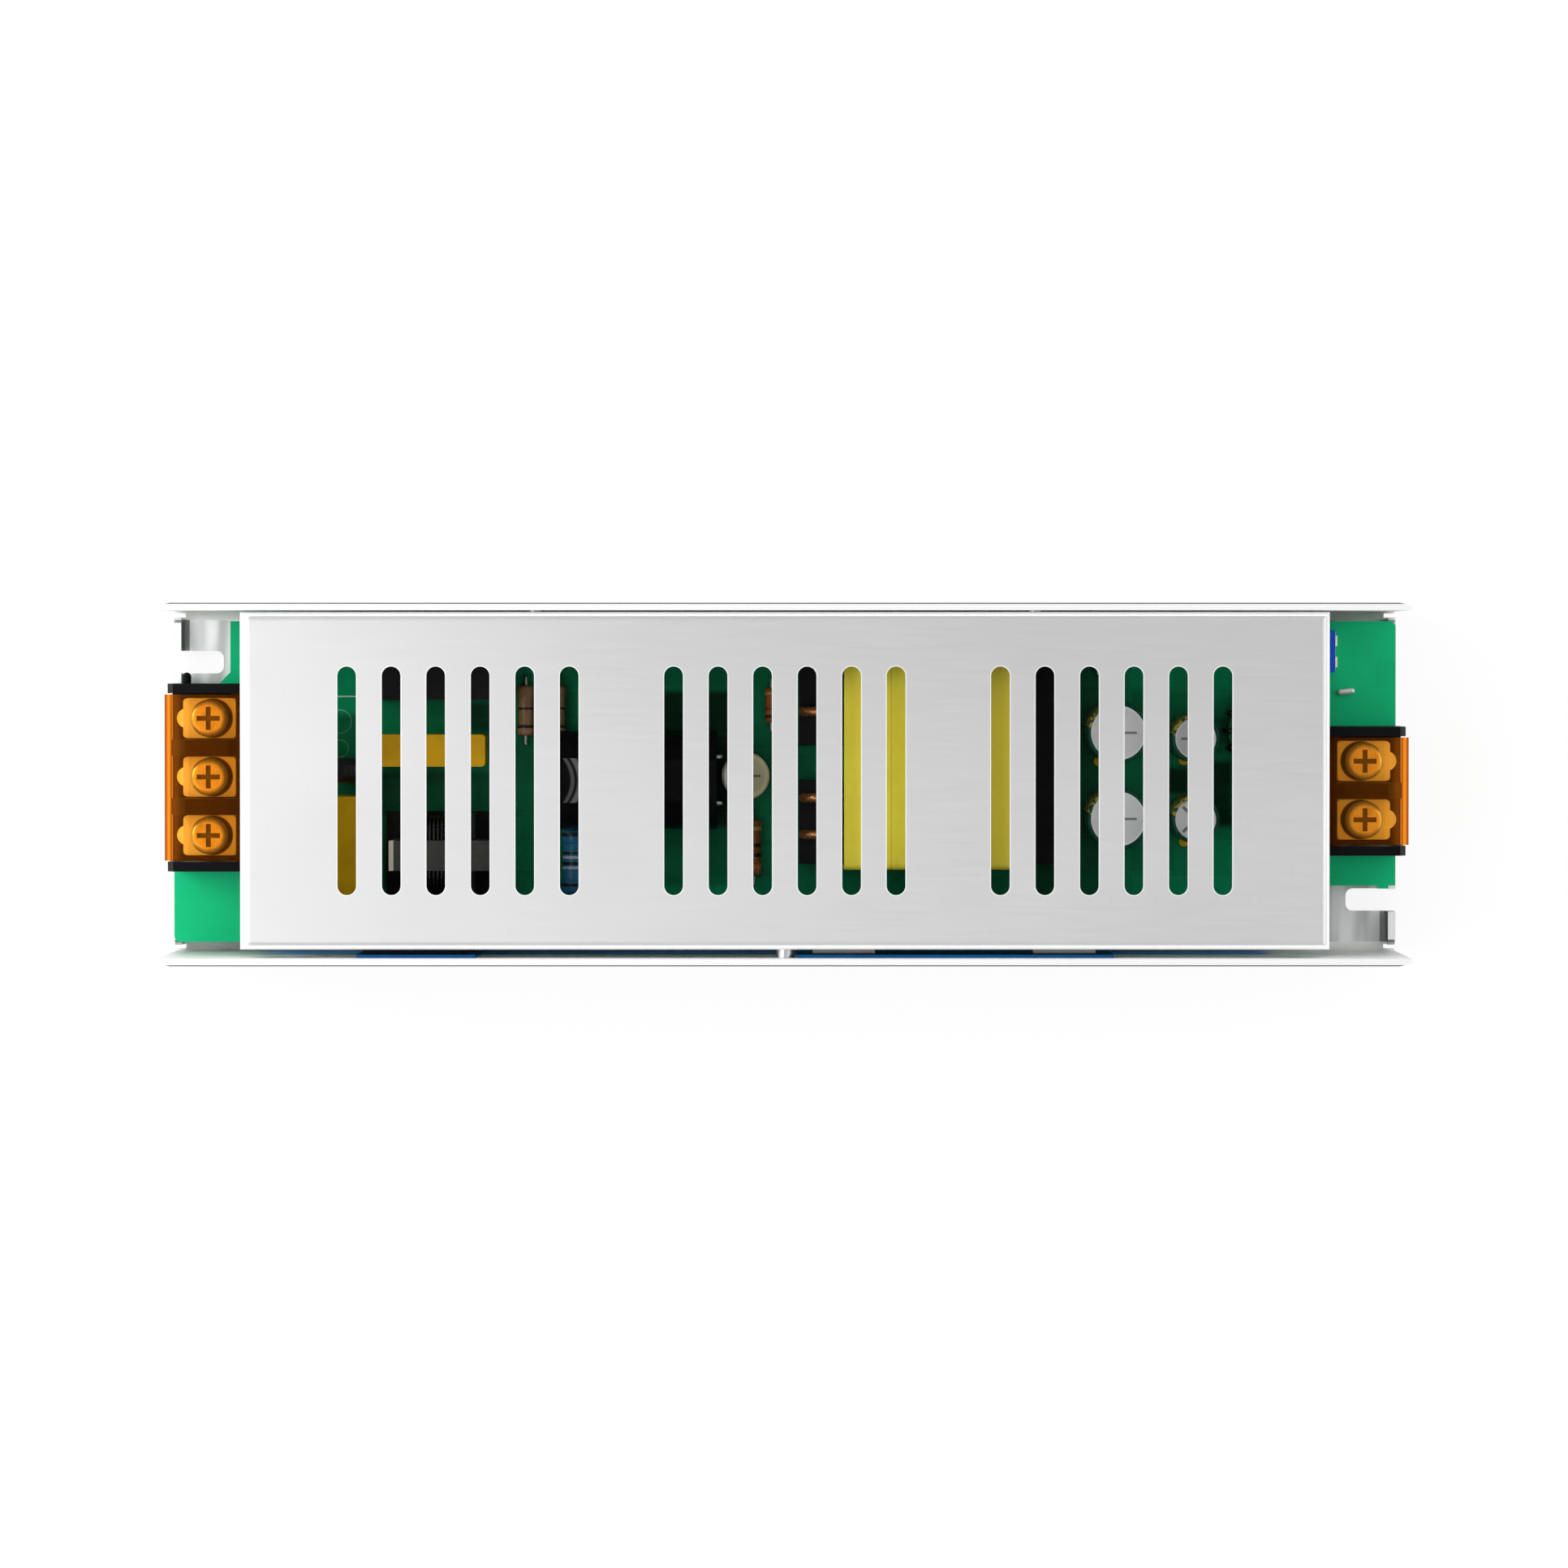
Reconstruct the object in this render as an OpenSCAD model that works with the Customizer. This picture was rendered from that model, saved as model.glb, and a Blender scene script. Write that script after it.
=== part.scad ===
// LED power supply: a folded channel with a slotted cover, a circuit board and two terminal blocks.
// Millimetres. +X runs from the input end to the output end, +Z is up.
// The origin lies on the mounting surface under the middle of the channel.

/* [Channel] */
// Length of the channel
case_length = 200; // [194:1:240]
// Width over the side walls
case_width = 58; // [57:0.5:70]
// Height of the side walls
case_height = 38; // [38:0.5:50]
// Thickness of the channel's sheet
case_sheet = 1.2; // [1:0.1:1.6]
// Inner radius of the folds along the walls
wall_fold = 1.5; // [1:0.1:2]
// Height of the upturned end lips
lip_height = 5; // [3.5:0.1:5.2]
// Inner radius of the folds at the end lips
lip_fold = 0.5; // [0.5:0.1:1.5]
// Gap between the end of a lip and the wall beside it
lip_gap = 1; // [1:0.1:2.5]
// Corner cut at the ends of a lip
lip_corner = 1; // [0.5:0.1:2]
// Length of the slanted cut at the upright ends of the walls
wall_bevel = 2; // [1:0.1:4]
// Width of the open mounting notches
notch_width = 3.7; // [3.2:0.1:4.4]
// Reach of a notch from the end of the channel
notch_reach = 7.9; // [6:0.1:8.8]
// Distance of a notch from the middle line
notch_offset = 19.5; // [18.8:0.1:21]
// Radius of the corners at the closed end of a notch
notch_corner = 1.2; // [0.5:0.1:1.5]

/* [Cover] */
// Thickness of the cover's sheet
cover_sheet = 1; // [0.8:0.1:1.4]
// Inner radius of the cover's folds
cover_fold = 0.4; // [0.2:0.1:1]
// Depth of the cover's face below the top of the walls
cover_drop = 1; // [0:0.1:1.5]
// Gap between the cover and the wall it is pulled against
cover_near_gap = 0.25; // [0.1:0.05:0.8]
// Gap between the cover and the other wall
cover_far_gap = 1.4; // [0.8:0.1:2.2]
// Gap between the cover's ends and the terminal blocks
cover_end_gap = 0.3; // [0.3:0.1:1.5]
// Depth of the cover's long flanges
cover_side_flange = 8.5; // [8:0.1:8.8]
// Depth of the cover's end flanges
cover_end_flange = 6; // [4:0.5:9]
// Width of the seams at the cover's corners
cover_seam = 0.4; // [0.2:0.1:0.8]

/* [Vents] */
// Width of a ventilation slot
vent_width = 3; // [2:0.1:4]
// Length of a ventilation slot
vent_length = 36.5; // [20:0.5:44]
// Distance between slots in a group
vent_pitch = 7.1; // [6:0.1:8.2]
// Number of slots in a group
vents_in_group = 6; // [3:1:6]
// Distance between the groups
vent_group_pitch = 52.15; // [50:0.05:54]
// Number of groups
vent_groups = 3; // [1:1:3]

/* [Board] */
// Height of the posts under the board
standoff_height = 5; // [4.5:0.1:6]
// Thickness of the board
board_thickness = 1.6; // [1.2:0.1:2]
// Gap between the board and the walls
board_side_gap = 1.6; // [1:0.1:2.2]
// Gap between the board's ends and the channel's ends
board_end_gap = 0.25; // [0.2:0.05:1]
// Reach of the input end's board notch from the board's end
input_notch_reach = 9.2; // [8:0.1:10]
// Reach of the output end's board notch from the board's end
output_notch_reach = 13.1; // [11:0.1:14]
// Distance of the output end's board notch from the middle line
output_notch_offset = 17; // [15:0.1:17.2]
// Distance of the posts from the board's ends and from its side edges
standoff_inset = [20.4, 3.5]; // [3:0.1:22]
// Outer radius of a post
standoff_radius = 2.75; // [2.4:0.05:2.8]
// Thickness of the insulating sheet
sheet_film = 0.3; // [0.2:0.05:0.6]

/* [Terminals] */
// Distance between terminals
terminal_pitch = 9.5; // [9.2:0.1:10]
// Length of a terminal block beyond its outermost screws, both ends together
block_margin = 11.3; // [10.8:0.1:12]
// Depth of a terminal block from back to front
block_depth = 12.3; // [11.8:0.1:13]
// Setback of a block's front from the channel's end
block_setback = 0.4; // [0.3:0.1:1]
// Height of a block's end walls
block_height = 17; // [16.8:0.1:18]
// Height of a block's floor under the contacts
block_floor = 5.2; // [5:0.1:5.6]
// Thickness of the end walls
end_wall = 1.55; // [1.4:0.05:2]
// Thickness of the barriers between terminals
barrier_width = 2.6; // [2.2:0.1:2.8]
// Height of the barriers
barrier_height = 14.2; // [12.5:0.1:14.4]
// Thickness of a block's back wall
back_wall = 1.3; // [1:0.1:1.5]
// Sideways place of the input block
input_offset = 0.9; // [0:0.1:1.5]
// Sideways place of the output block
output_offset = -1.3; // [-2:0.1:0]
// How much nearer to its end the output block stands
output_overhang = 0.6; // [0:0.1:1.2]
// Diameter of the locating peg on the input block
peg_diameter = 1.4; // [1:0.1:2]
// Length of the locating peg
peg_length = 1.8; // [1:0.1:2.4]
// Thickness of a contact plate
contact_sheet = 1; // [0.8:0.1:1.2]
// Thickness of a clamp plate
clamp_sheet = 1; // [0.8:0.1:1.4]
// Radius of a terminal screw's head
head_radius = 3; // [2.6:0.05:3.1]
// Height of a terminal screw's head
head_height = 2.5; // [1.8:0.1:2.8]
// Radius of a terminal screw's shank
shank_radius = 1.7; // [1.5:0.05:1.9]
// Length of a terminal screw's shank
shank_length = 6.3; // [6:0.1:6.6]

/* [Flaps] */
// Thickness of the flap
flap_sheet = 1; // [0.8:0.1:1.2]
// Depth of the flap's front edge
flap_lip = 1.6; // [0.8:0.1:2]
// Reach of the flap beyond the front of its block
flap_overhang = 0.4; // [0.1:0.1:0.4]
// Radius of the bead along the flap's hinge edge
bead_radius = 1.2; // [1.1:0.05:1.3]
// Radius of the flap's hinge pins
pin_radius = 0.8; // [0.6:0.05:0.9]
// Radial clearance of turning fits
running_gap = 0.06; // [0.03:0.01:0.1]
// Gap between a flap and the end walls
flap_side_gap = 0.2; // [0.1:0.05:0.4]

/* [Trimmer] */
// Length and width of the trimmer's body
trimmer_side = 6.9; // [6:0.1:7.2]
// Height of the trimmer's body
trimmer_height = 4.9; // [4:0.1:6]
// Radius of the trimmer's rotor
rotor_radius = 2.3; // [1.8:0.1:2.6]
// Distance of the trimmer from the board's end and from its side edge
trimmer_inset = [13.6, 4.95]; // [4:0.05:14]
// Distance of the wire link from the board's end and from its side edge
link_inset = [8.1, 11.5]; // [4:0.1:14]

/* [Capacitors and filter] */
// Size of the line capacitor
line_capacitor_size = [8.5, 17.8, 16]; // [4:0.1:20]
// Sideways place of the line capacitor
line_capacitor_y = -11.1; // [-12:0.1:-8]
// Size of the filter capacitor
filter_capacitor_size = [17.8, 5.2, 12]; // [4:0.2:20]
// Place of the filter capacitor, along the board from the choke
filter_capacitor_at = [-3.1, 5.2]; // [-5:0.1:7]
// Size of the fuse holder
fuse_size = [22, 10, 11]; // [6:0.5:24]
// Place of the fuse holder, along the board from the choke and in from the side edge
fuse_inset = [-2.2, 7.8]; // [-4:0.1:9]
// Diameter of the thermistor
thermistor_diameter = 9.5; // [7:0.5:9.5]
// Place of the thermistor, along the board from the choke
thermistor_at = [-17.1, 1.9]; // [-20:0.1:3]
// Outer size of the choke's core
choke_size = [18.6, 4.8, 20]; // [4:0.2:22]
// Distance of the choke's middle from the board's side edge
choke_inset = 14.6; // [14.2:0.1:17]
// Width of the choke's bobbin
choke_width = 13.6; // [11:0.2:14]
// Diameter of the bulk capacitor
bulk_diameter = 16; // [12:0.5:16]
// Length of the bulk capacitor
bulk_length = 26.5; // [20:0.5:26.5]
// Sideways place of the bulk capacitor
bulk_y = 0.4; // [-2:0.1:2]
// Diameter of the startup capacitor
startup_diameter = 8; // [5:0.5:8]
// Height of the startup capacitor
startup_height = 12; // [9:0.5:16]
// Sideways place of the startup capacitor
startup_y = 1.1; // [0:0.1:2]
// Diameter of the large output capacitors
large_can_diameter = 10; // [8:0.5:10]
// Height of the large output capacitors
large_can_height = 20; // [12:0.5:24]
// Sideways places of the large output capacitors
large_cans_y = [8.15, -5.7]; // [-12:0.05:12]
// Diameter of the small output capacitors
small_can_diameter = 7.8; // [6:0.1:8]
// Height of the small output capacitors
small_can_height = 19; // [12:0.5:24]
// Sideways places of the small output capacitors
small_cans_y = [7.2, -5.8]; // [-12:0.05:12]

/* [Transformer and output choke] */
// Length of the transformer's sleeve along the board
sleeve_length = 28; // [24:0.5:30]
// Width of the transformer's sleeve
sleeve_width = 33.8; // [30:0.2:35]
// Height of the transformer above the board
transformer_height = 24.2; // [20:0.2:25]
// Thickness of the sleeve's tape
sleeve_tape = 0.5; // [0.3:0.1:0.8]
// Sideways place of the transformer
transformer_y = 3.1; // [1:0.1:3.6]
// Length of the transformer's pin rails
rail_length = 7.2; // [5:0.2:7.6]
// Outer diameter of the output choke's ring
ring_diameter = 12.6; // [10:0.2:12.8]
// Inner diameter of the output choke's ring
ring_bore = 6.6; // [6:0.2:7]
// Height of the output choke's ring
ring_height = 5; // [4:0.2:7]
// Diameter of the output choke's wire
choke_wire = 0.9; // [0.6:0.1:0.9]
// Sideways place of the output choke
ring_y = 8.4; // [7:0.1:9]

/* [Power devices] */
// Thickness of the heat pads
pad_thickness = 0.5; // [0.2:0.1:0.8]
// Place of the rectifier bridge along the wall, from the choke
bridge_shift = -4.7; // [-6:0.1:0]
// Place of the switching transistor along the wall, from the transformer
transistor_shift = -14; // [-16:0.1:-8]
// Place of the output rectifier along the wall, from the large output capacitors
rectifier_shift = -8.6; // [-12:0.1:-6]
// Width of a power device
device_width = 10; // [9:0.5:11]
// Thickness of a power device
device_thickness = 4.5; // [4:0.1:5]
// Height of a power device's hole above its lower edge
device_hole = 12.4; // [12.2:0.1:12.6]

/* [Resistors and chips] */
// Length and diameter of a bleeder resistor
bleeder_size = [8.2, 2.7]; // [2:0.1:9]
// Place of the first bleeder resistor, along the board from the choke
bleeder_at = [12.05, 11.6]; // [11:0.05:13]
// Distance between the bleeder resistors
bleeder_pitch = 5.2; // [4:0.1:6]
// Length and diameter of the snubber resistor
snubber_size = [10.6, 4]; // [3:0.1:11]
// Place of the snubber resistor, along the board from the bulk capacitor
snubber_at = [-10.2, -13]; // [-14:0.05:-8]
// Length and diameter of the sense resistor
sense_size = [9.3, 3]; // [2:0.1:10]
// Place of the sense resistor, along the board from the startup capacitor
sense_at = [1.1, -10.75]; // [-12:0.05:2]
// Length and diameter of the damping resistor
damping_size = [5.6, 2.4]; // [2:0.1:6]
// Place of the damping resistor, along the board from the startup capacitor
damping_at = [4.2, 12.5]; // [4:0.1:13]
// Width of the chips' bodies
chip_width = 6.4; // [6:0.1:6.6]
// Place of the control chip, along the board from the bulk capacitor and in from the side edge
chip_inset = [-2.75, 7.2]; // [-4:0.05:8]
// Place of the optocoupler, along the board from the large capacitors and in from the side edge
optocoupler_inset = [-0.9, 4.8]; // [-3:0.1:5]
// Diameter and thickness of the safety capacitor
safety_size = [8, 3.2]; // [2.6:0.1:9]
// Place of the safety capacitor, along the board from the transformer and out from its side
safety_at = [-9.5, 2.8]; // [-10:0.1:3]

/* [Hidden] */
$fn = 48;
hair = 0.01;

// Heights and reaches that follow from the sizes above
floor_top = case_sheet;
board_bottom = floor_top + standoff_height;
board_top = board_bottom + board_thickness;
inner_half = case_width / 2 - case_sheet;
case_end = case_length / 2;
board_end = case_end - board_end_gap;
board_half = inner_half - board_side_gap;
block_front = case_end - block_setback;
block_back = block_front - block_depth;
output_back = block_back + output_overhang;
cover_end = block_back - cover_end_gap;
cover_top = case_height - cover_drop;
cover_width = 2 * inner_half - cover_near_gap - cover_far_gap;
cover_middle = inner_half - cover_near_gap - cover_width / 2;
lip_half = inner_half - lip_gap;
relief_half = inner_half - case_sheet / 4;
spigot_radius = standoff_radius - 0.5;

// Machine screws
screw_radius = 1.45;
tapped_radius = screw_radius + 0.05;
through_radius = screw_radius + 0.2;
sunk_head_radius = 2.45;
sunk_head_height = sunk_head_radius - screw_radius;
pan_head_radius = 2.6;
pan_head_height = 1.9;
recess_width = 0.8;
cover_screw_spread = 0.46;
near_screws_x = [-cover_end * cover_screw_spread, cover_end * cover_screw_spread];
far_screw_gap = 0.45;
cover_screw_length = 4.8;
cover_screw_z = cover_top - cover_side_flange / 2 - cover_sheet / 2;

// Terminal details, in a block's own frame: back at x = 0, front towards +x, board at z = 0
screw_x = block_depth / 2;
contact_top = block_floor + contact_sheet;
seat_gap = 0.02;
clamp_bottom = contact_top + seat_gap;
clamp_top = clamp_bottom + clamp_sheet;
bay_half = (terminal_pitch - barrier_width) / 2;
clamp_gap = 0.25;
contact_back = back_wall + 0.4;
contact_front = block_depth - 2.2;
tongue_radius = 1.6;
leg_size = [1, 2];
leg_x = contact_back + 1.2;
leg_gap = 0.1;
leg_tail = 1.5;
leg_hole_radius = norm(leg_size) / 2 + leg_gap;
pocket_radius = shank_radius + 0.4;
pocket_floor = 0.5;
flap_top = block_height - 0.2;
flap_under = flap_top - flap_sheet;
hinge_x = bead_radius;
hinge_z = flap_top - bead_radius;
bead_clearance = 0.4;
back_wall_height = hinge_z - bead_radius - bead_clearance;
barrier_end = block_depth - 2.7;
barrier_toe = block_depth - 0.3;
barrier_toe_height = barrier_height - 3.7;
pin_length = end_wall - 0.15;
input_ways = 3;
output_ways = 2;

function block_length(ways) = (ways - 1) * terminal_pitch + block_margin;
function way_y(i, ways) = (i - (ways - 1) / 2) * terminal_pitch;

// Trimmer details
rotor_depth = 1;
rotor_height = 1.3;

// Power devices stand against the -Y wall
device_back = -inner_half + pad_thickness;
device_room = cover_top - cover_side_flange - board_top - device_hole - pan_head_radius;
device_lift = device_room / 2;
device_body_height = 9;
device_tab = 1.3;
device_tab_height = device_hole + 3;
device_hole_z = board_top + device_lift + device_hole;
bridge_size = [18, 4, 15];
pad_top = case_height - 3.5;
pad_bottom = board_top + 1;
bridge_pad_width = bridge_size[0] + 1;
pad_margin = 7.6;

// Choke details
choke_base = 1.5;
pin_shelf = 1.4;
choke_bar = choke_size[1];
bobbin_gap = 0.15;
bobbin_wall = 0.8;
flange_sheet = 1;
bobbin_reach = choke_size[0] / 2 - choke_bar - bobbin_gap;
core_middle = choke_base + choke_size[2] / 2;
bobbin_half_height = choke_bar / 2 + (choke_size[2] - 3 * choke_bar) / 2 - bobbin_gap;
winding_gap = 0.1;

// Transformer details, in its own frame: middle at x = y = 0, board at z = 0
rail_base = 2.4;
rail_height = 6;
rail_split = 5.7;
core_leg = 5;
core_height = 11;
core_z = (rail_base + 0.3 + transformer_height - sleeve_tape) / 2;
winding_half_height = (transformer_height - sleeve_tape - rail_base - 0.3) / 2;
spool_wall = 0.6;
spool_gap = 0.1;
centre_leg = 10;
window_width = (sleeve_width - 2 * sleeve_tape - 2 * core_leg - centre_leg) / 2;
window_length = sleeve_length - 2 * core_leg;
lead_radius = 0.8;
lead_places = sleeve_width * [-0.166, -0.343, 0.249];

// The row of tall pieces from the input block to the output block. The gaps before, between and
// after the pieces share out whatever length the pieces leave free.
row_lengths = [
  line_capacitor_size[0], choke_size[0], bulk_length, startup_diameter, sleeve_length + 2 * rail_length,
  large_can_diameter, small_can_diameter, ring_diameter + 2 * (choke_wire + winding_gap)
];
row_gaps = [11.3, 3.9, 7.5, 0.7, 4.6, 3.9, 3.6, 1.1, 2.2];

function sum_of_first(list, count) = count == 0 ? 0 : list[count - 1] + sum_of_first(list, count - 1);

row_spare = block_back + output_back - sum_of_first(row_lengths, len(row_lengths));
gap_scale = row_spare / sum_of_first(row_gaps, len(row_gaps));

function row_x(i) =
  sum_of_first(row_lengths, i) + row_lengths[i] / 2 + gap_scale * sum_of_first(row_gaps, i + 1) - block_back;

line_capacitor_at = [row_x(0), line_capacitor_y];
choke_at = [row_x(1), choke_inset - board_half];
bulk_at = [row_x(2), bulk_y];
startup_at = [row_x(3), startup_y];
transformer_at = [row_x(4), transformer_y];
ring_at = [row_x(7), ring_y];
trimmer_at = [board_end - trimmer_inset[0], board_half - trimmer_inset[1]];
link_at = [board_end - link_inset[0], board_half - link_inset[1]];
bridge_x = choke_at[0] + bridge_shift;
transistor_x = transformer_at[0] + transistor_shift;
rectifier_x = row_x(5) + rectifier_shift;
pad_start = transistor_x - pad_margin;
pad_end = rectifier_x + pad_margin;
far_screw_x = pad_start - screw_radius - far_screw_gap;

// Flat shapes

module rounded_rect(size, radius) {
  square([size[0], size[1] - 2 * radius], center = true);
  square([size[0] - 2 * radius, size[1]], center = true);
  for (sx = [-1, 1], sy = [-1, 1])
    translate([sx * (size[0] / 2 - radius), sy * (size[1] / 2 - radius)]) circle(radius);
}

// A cup outline standing on y = 0, with its two lower corners rounded
module cup_outline(width, height, radius) {
  translate([-width / 2, radius]) square([width, height - radius]);
  translate([-width / 2 + radius, 0]) square([width - 2 * radius, radius + hair]);
  for (side = [-1, 1]) translate([side * (width / 2 - radius), radius]) circle(radius);
}

module vent_outline() {
  square([vent_width, vent_length - vent_width], center = true);
  for (side = [-1, 1]) translate([0, side * (vent_length - vent_width) / 2]) circle(vent_width / 2);
}

// An open notch whose closed end lies at x = 0 and which runs out towards +x
module notch_outline() {
  translate([notch_corner, -notch_width / 2]) square([notch_reach + 1 - notch_corner, notch_width]);
  translate([0, -notch_width / 2 + notch_corner])
    square([notch_reach + 1, notch_width - 2 * notch_corner]);
  for (side = [-1, 1])
    translate([notch_corner, side * (notch_width / 2 - notch_corner)]) circle(notch_corner);
}

// Turns an outline drawn in x and y into one drawn in y and z, extruded along x
module along_x(length) rotate([90, 0, 90]) linear_extrude(length, center = true) children();

// Turns an outline drawn in x and y into one drawn in x and z, extruded along y
module along_y(length) rotate([90, 0, 0]) linear_extrude(length, center = true) children();

// Small shared solids

module rounded_block(size, radius) linear_extrude(size[2]) rounded_rect([size[0], size[1]], radius);

module cross_recess(width, length, depth) {
  for (turn = [0, 90]) rotate(turn)
    translate([-length / 2, -width / 2, -depth]) cube([length, width, depth + 1]);
}

// A pan head that sits on z = 0
module pan_head(radius, height) {
  crown = height / 3;
  difference() {
    rotate_extrude() {
      square([radius, height - crown]);
      square([radius - crown, height]);
      translate([radius - crown, height - crown]) circle(crown);
    }
    translate([0, 0, height]) cross_recess(recess_width, radius * 1.25, height / 2);
  }
}

// A pan screw whose head sits on z = 0 and whose shank runs down
module pan_screw(length) {
  pan_head(pan_head_radius, pan_head_height);
  translate([0, 0, -length]) cylinder(length + hair, r = screw_radius);
}

// A countersunk screw whose head is flush with z = 0 and whose shank runs down
module sunk_screw(length) {
  difference() {
    union() {
      translate([0, 0, -sunk_head_height])
        cylinder(sunk_head_height, r1 = screw_radius, r2 = sunk_head_radius);
      translate([0, 0, -length]) cylinder(length - sunk_head_height + hair, r = screw_radius);
    }
    cross_recess(recess_width, sunk_head_radius, sunk_head_height * 0.7);
  }
}

module sunk_hole(depth) {
  clearance = through_radius - screw_radius;
  translate([0, 0, -depth]) cylinder(depth + 1, r = through_radius);
  translate([0, 0, -sunk_head_height])
    cylinder(sunk_head_height + hair, r1 = through_radius, r2 = sunk_head_radius + clearance);
}

// An upright electrolytic can on z = 0, with a crimp, a sleeve curled over its top and a scored vent
module can(diameter, height) {
  radius = diameter / 2;
  curl = 0.6;
  crimp = 0.45;
  crimp_z = 2.2;
  sleeve_ring = 0.7;
  sleeve_step = 0.25;
  score = 0.4;
  difference() {
    rotate_extrude() {
      difference() {
        union() {
          square([radius, height - curl]);
          square([radius - curl, height]);
          translate([radius - curl, height - curl]) circle(curl);
        }
        translate([radius + crimp / 2, crimp_z]) circle(crimp);
        translate([-hair, height - sleeve_step]) square([radius - sleeve_ring, 1]);
      }
    }
    translate([0, 0, height - sleeve_step]) cross_recess(score, radius * 1.2, score / 2);
  }
}

// A resistor that lies along y just above z = 0, with both leads bent down to the board
module resistor(length, diameter) {
  radius = diameter / 2;
  lift = 0.3;
  cap_length = length / 4;
  waist = radius * 0.9;
  lead = 0.35;
  lead_reach = 1.3;
  translate([0, 0, lift + radius]) {
    rotate([90, 0, 0]) cylinder(length - cap_length, r = waist, center = true);
    for (side = [-1, 1]) {
      translate([0, side * (length - cap_length) / 2, 0])
        rotate([90, 0, 0]) resistor_cap(cap_length, radius);
      translate([0, side * (length + lead_reach) / 2, 0])
        rotate([90, 0, 0]) cylinder(lead_reach + 0.2, r = lead, center = true);
      translate([0, side * (length / 2 + lead_reach), 0]) {
        sphere(lead);
        translate([0, 0, -lift - radius]) cylinder(lift + radius, r = lead);
      }
    }
  }
}

module resistor_cap(length, radius) {
  edge = radius * 0.4;
  rotate_extrude() {
    translate([0, -length / 2]) square([radius - edge, length]);
    translate([0, -length / 2 + edge]) square([radius, length - 2 * edge]);
    for (side = [-1, 1]) translate([radius - edge, side * (length / 2 - edge)]) circle(edge);
  }
}

// A dipped disc that stands across y on two leads
module disc(diameter, thickness, lift, lead_pitch) {
  radius = diameter / 2;
  edge = thickness * 0.4;
  lead = 0.35;
  translate([0, 0, lift + radius]) rotate([90, 0, 0]) rotate_extrude() {
    translate([0, -thickness / 2]) square([radius - edge, thickness]);
    translate([0, -thickness / 2 + edge]) square([radius, thickness - 2 * edge]);
    for (side = [-1, 1]) translate([radius - edge, side * (thickness / 2 - edge)]) circle(edge);
  }
  for (side = [-1, 1]) translate([side * lead_pitch / 2, 0, 0]) cylinder(lift + radius * 0.6, r = lead);
}

// A dual-in-line chip with its body raised on bent legs
module dual_in_line(pins_a_side, width) {
  pitch = 2.54;
  length = pins_a_side * pitch - 0.4;
  body_height = 3.2;
  lift = 0.5;
  leg = [1, 0.3];
  leg_row = width / 2 + 0.6;
  shoulder = leg_row - width / 2 + hair;
  dimple = 0.6;
  difference() {
    translate([0, 0, lift]) rounded_block([length, width, body_height], 0.2);
    translate([-length / 2 + 1.2, -width / 4, lift + body_height - 0.2]) cylinder(1, r = dimple);
  }
  for (i = [0:pins_a_side - 1], side = [-1, 1])
    translate([(i - (pins_a_side - 1) / 2) * pitch, side * leg_row, 0]) {
      translate([-leg[0] / 2, -leg[1] / 2, 0]) cube([leg[0], leg[1], lift + body_height / 2]);
      translate([-leg[0] / 2, side > 0 ? -shoulder : -leg[1] / 2, lift + body_height / 2 - leg[1]])
        cube([leg[0], shoulder + leg[1] / 2, leg[1]]);
    }
}

// Case

module wall_ends() {
  for (sx = [-1, 1], sy = [-1, 1])
    translate([sx * case_end, sy * case_width / 2, -1])
      linear_extrude(case_height + 2)
        polygon([[sx * hair, sy * hair], [-sx * wall_bevel, sy * hair], [sx * hair, -sy * wall_bevel / 4]]);
}

// The channel's two walls and floor, with the floor stopped where the end lips fold up
module channel_fold() {
  difference() {
    along_x(case_length) difference() {
      cup_outline(case_width, case_height, wall_fold + case_sheet);
      translate([0, case_sheet]) cup_outline(case_width - 2 * case_sheet, case_height, wall_fold);
    }
    for (side = [-1, 1])
      translate([side * case_end, 0, 0])
        cube([2 * (case_sheet + lip_fold), 2 * relief_half, 2 * lip_height], center = true);
    wall_ends();
  }
}

module end_lips() {
  lip_cut = 2 * (case_sheet + lip_fold) + 2;
  difference() {
    along_y(2 * lip_half) difference() {
      cup_outline(case_length, lip_height, lip_fold + case_sheet);
      translate([0, case_sheet]) cup_outline(case_length - 2 * case_sheet, lip_height, lip_fold);
    }
    cube([case_length - lip_cut, case_width, 4 * lip_height], center = true);
    for (sx = [-1, 1], sy = [-1, 1])
      translate([sx * case_end, sy * lip_half, lip_height])
        rotate([45, 0, 0]) cube([4 * case_sheet, lip_corner * sqrt(2), lip_corner * sqrt(2)], center = true);
  }
}

module at_standoffs() {
  for (sx = [-1, 1], sy = [-1, 1]) translate([
    sx * (board_end - standoff_inset[0]), sy * (board_half - standoff_inset[1]), 0
  ]) children();
}

// Places children on the outer face of a wall at each cover screw, with +z pointing outwards
module at_cover_screws() {
  for (x = near_screws_x) translate([x, case_width / 2, cover_screw_z]) rotate([-90, 0, 0]) children();
  translate([far_screw_x, -case_width / 2, cover_screw_z]) rotate([90, 0, 0]) children();
}

// Places children at each power device's screw, on the wall's inner face, with +z pointing inwards
module at_devices() {
  for (x = [bridge_x, transistor_x, rectifier_x])
    translate([x, -inner_half, device_hole_z]) rotate([-90, 0, 0]) children();
}

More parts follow.
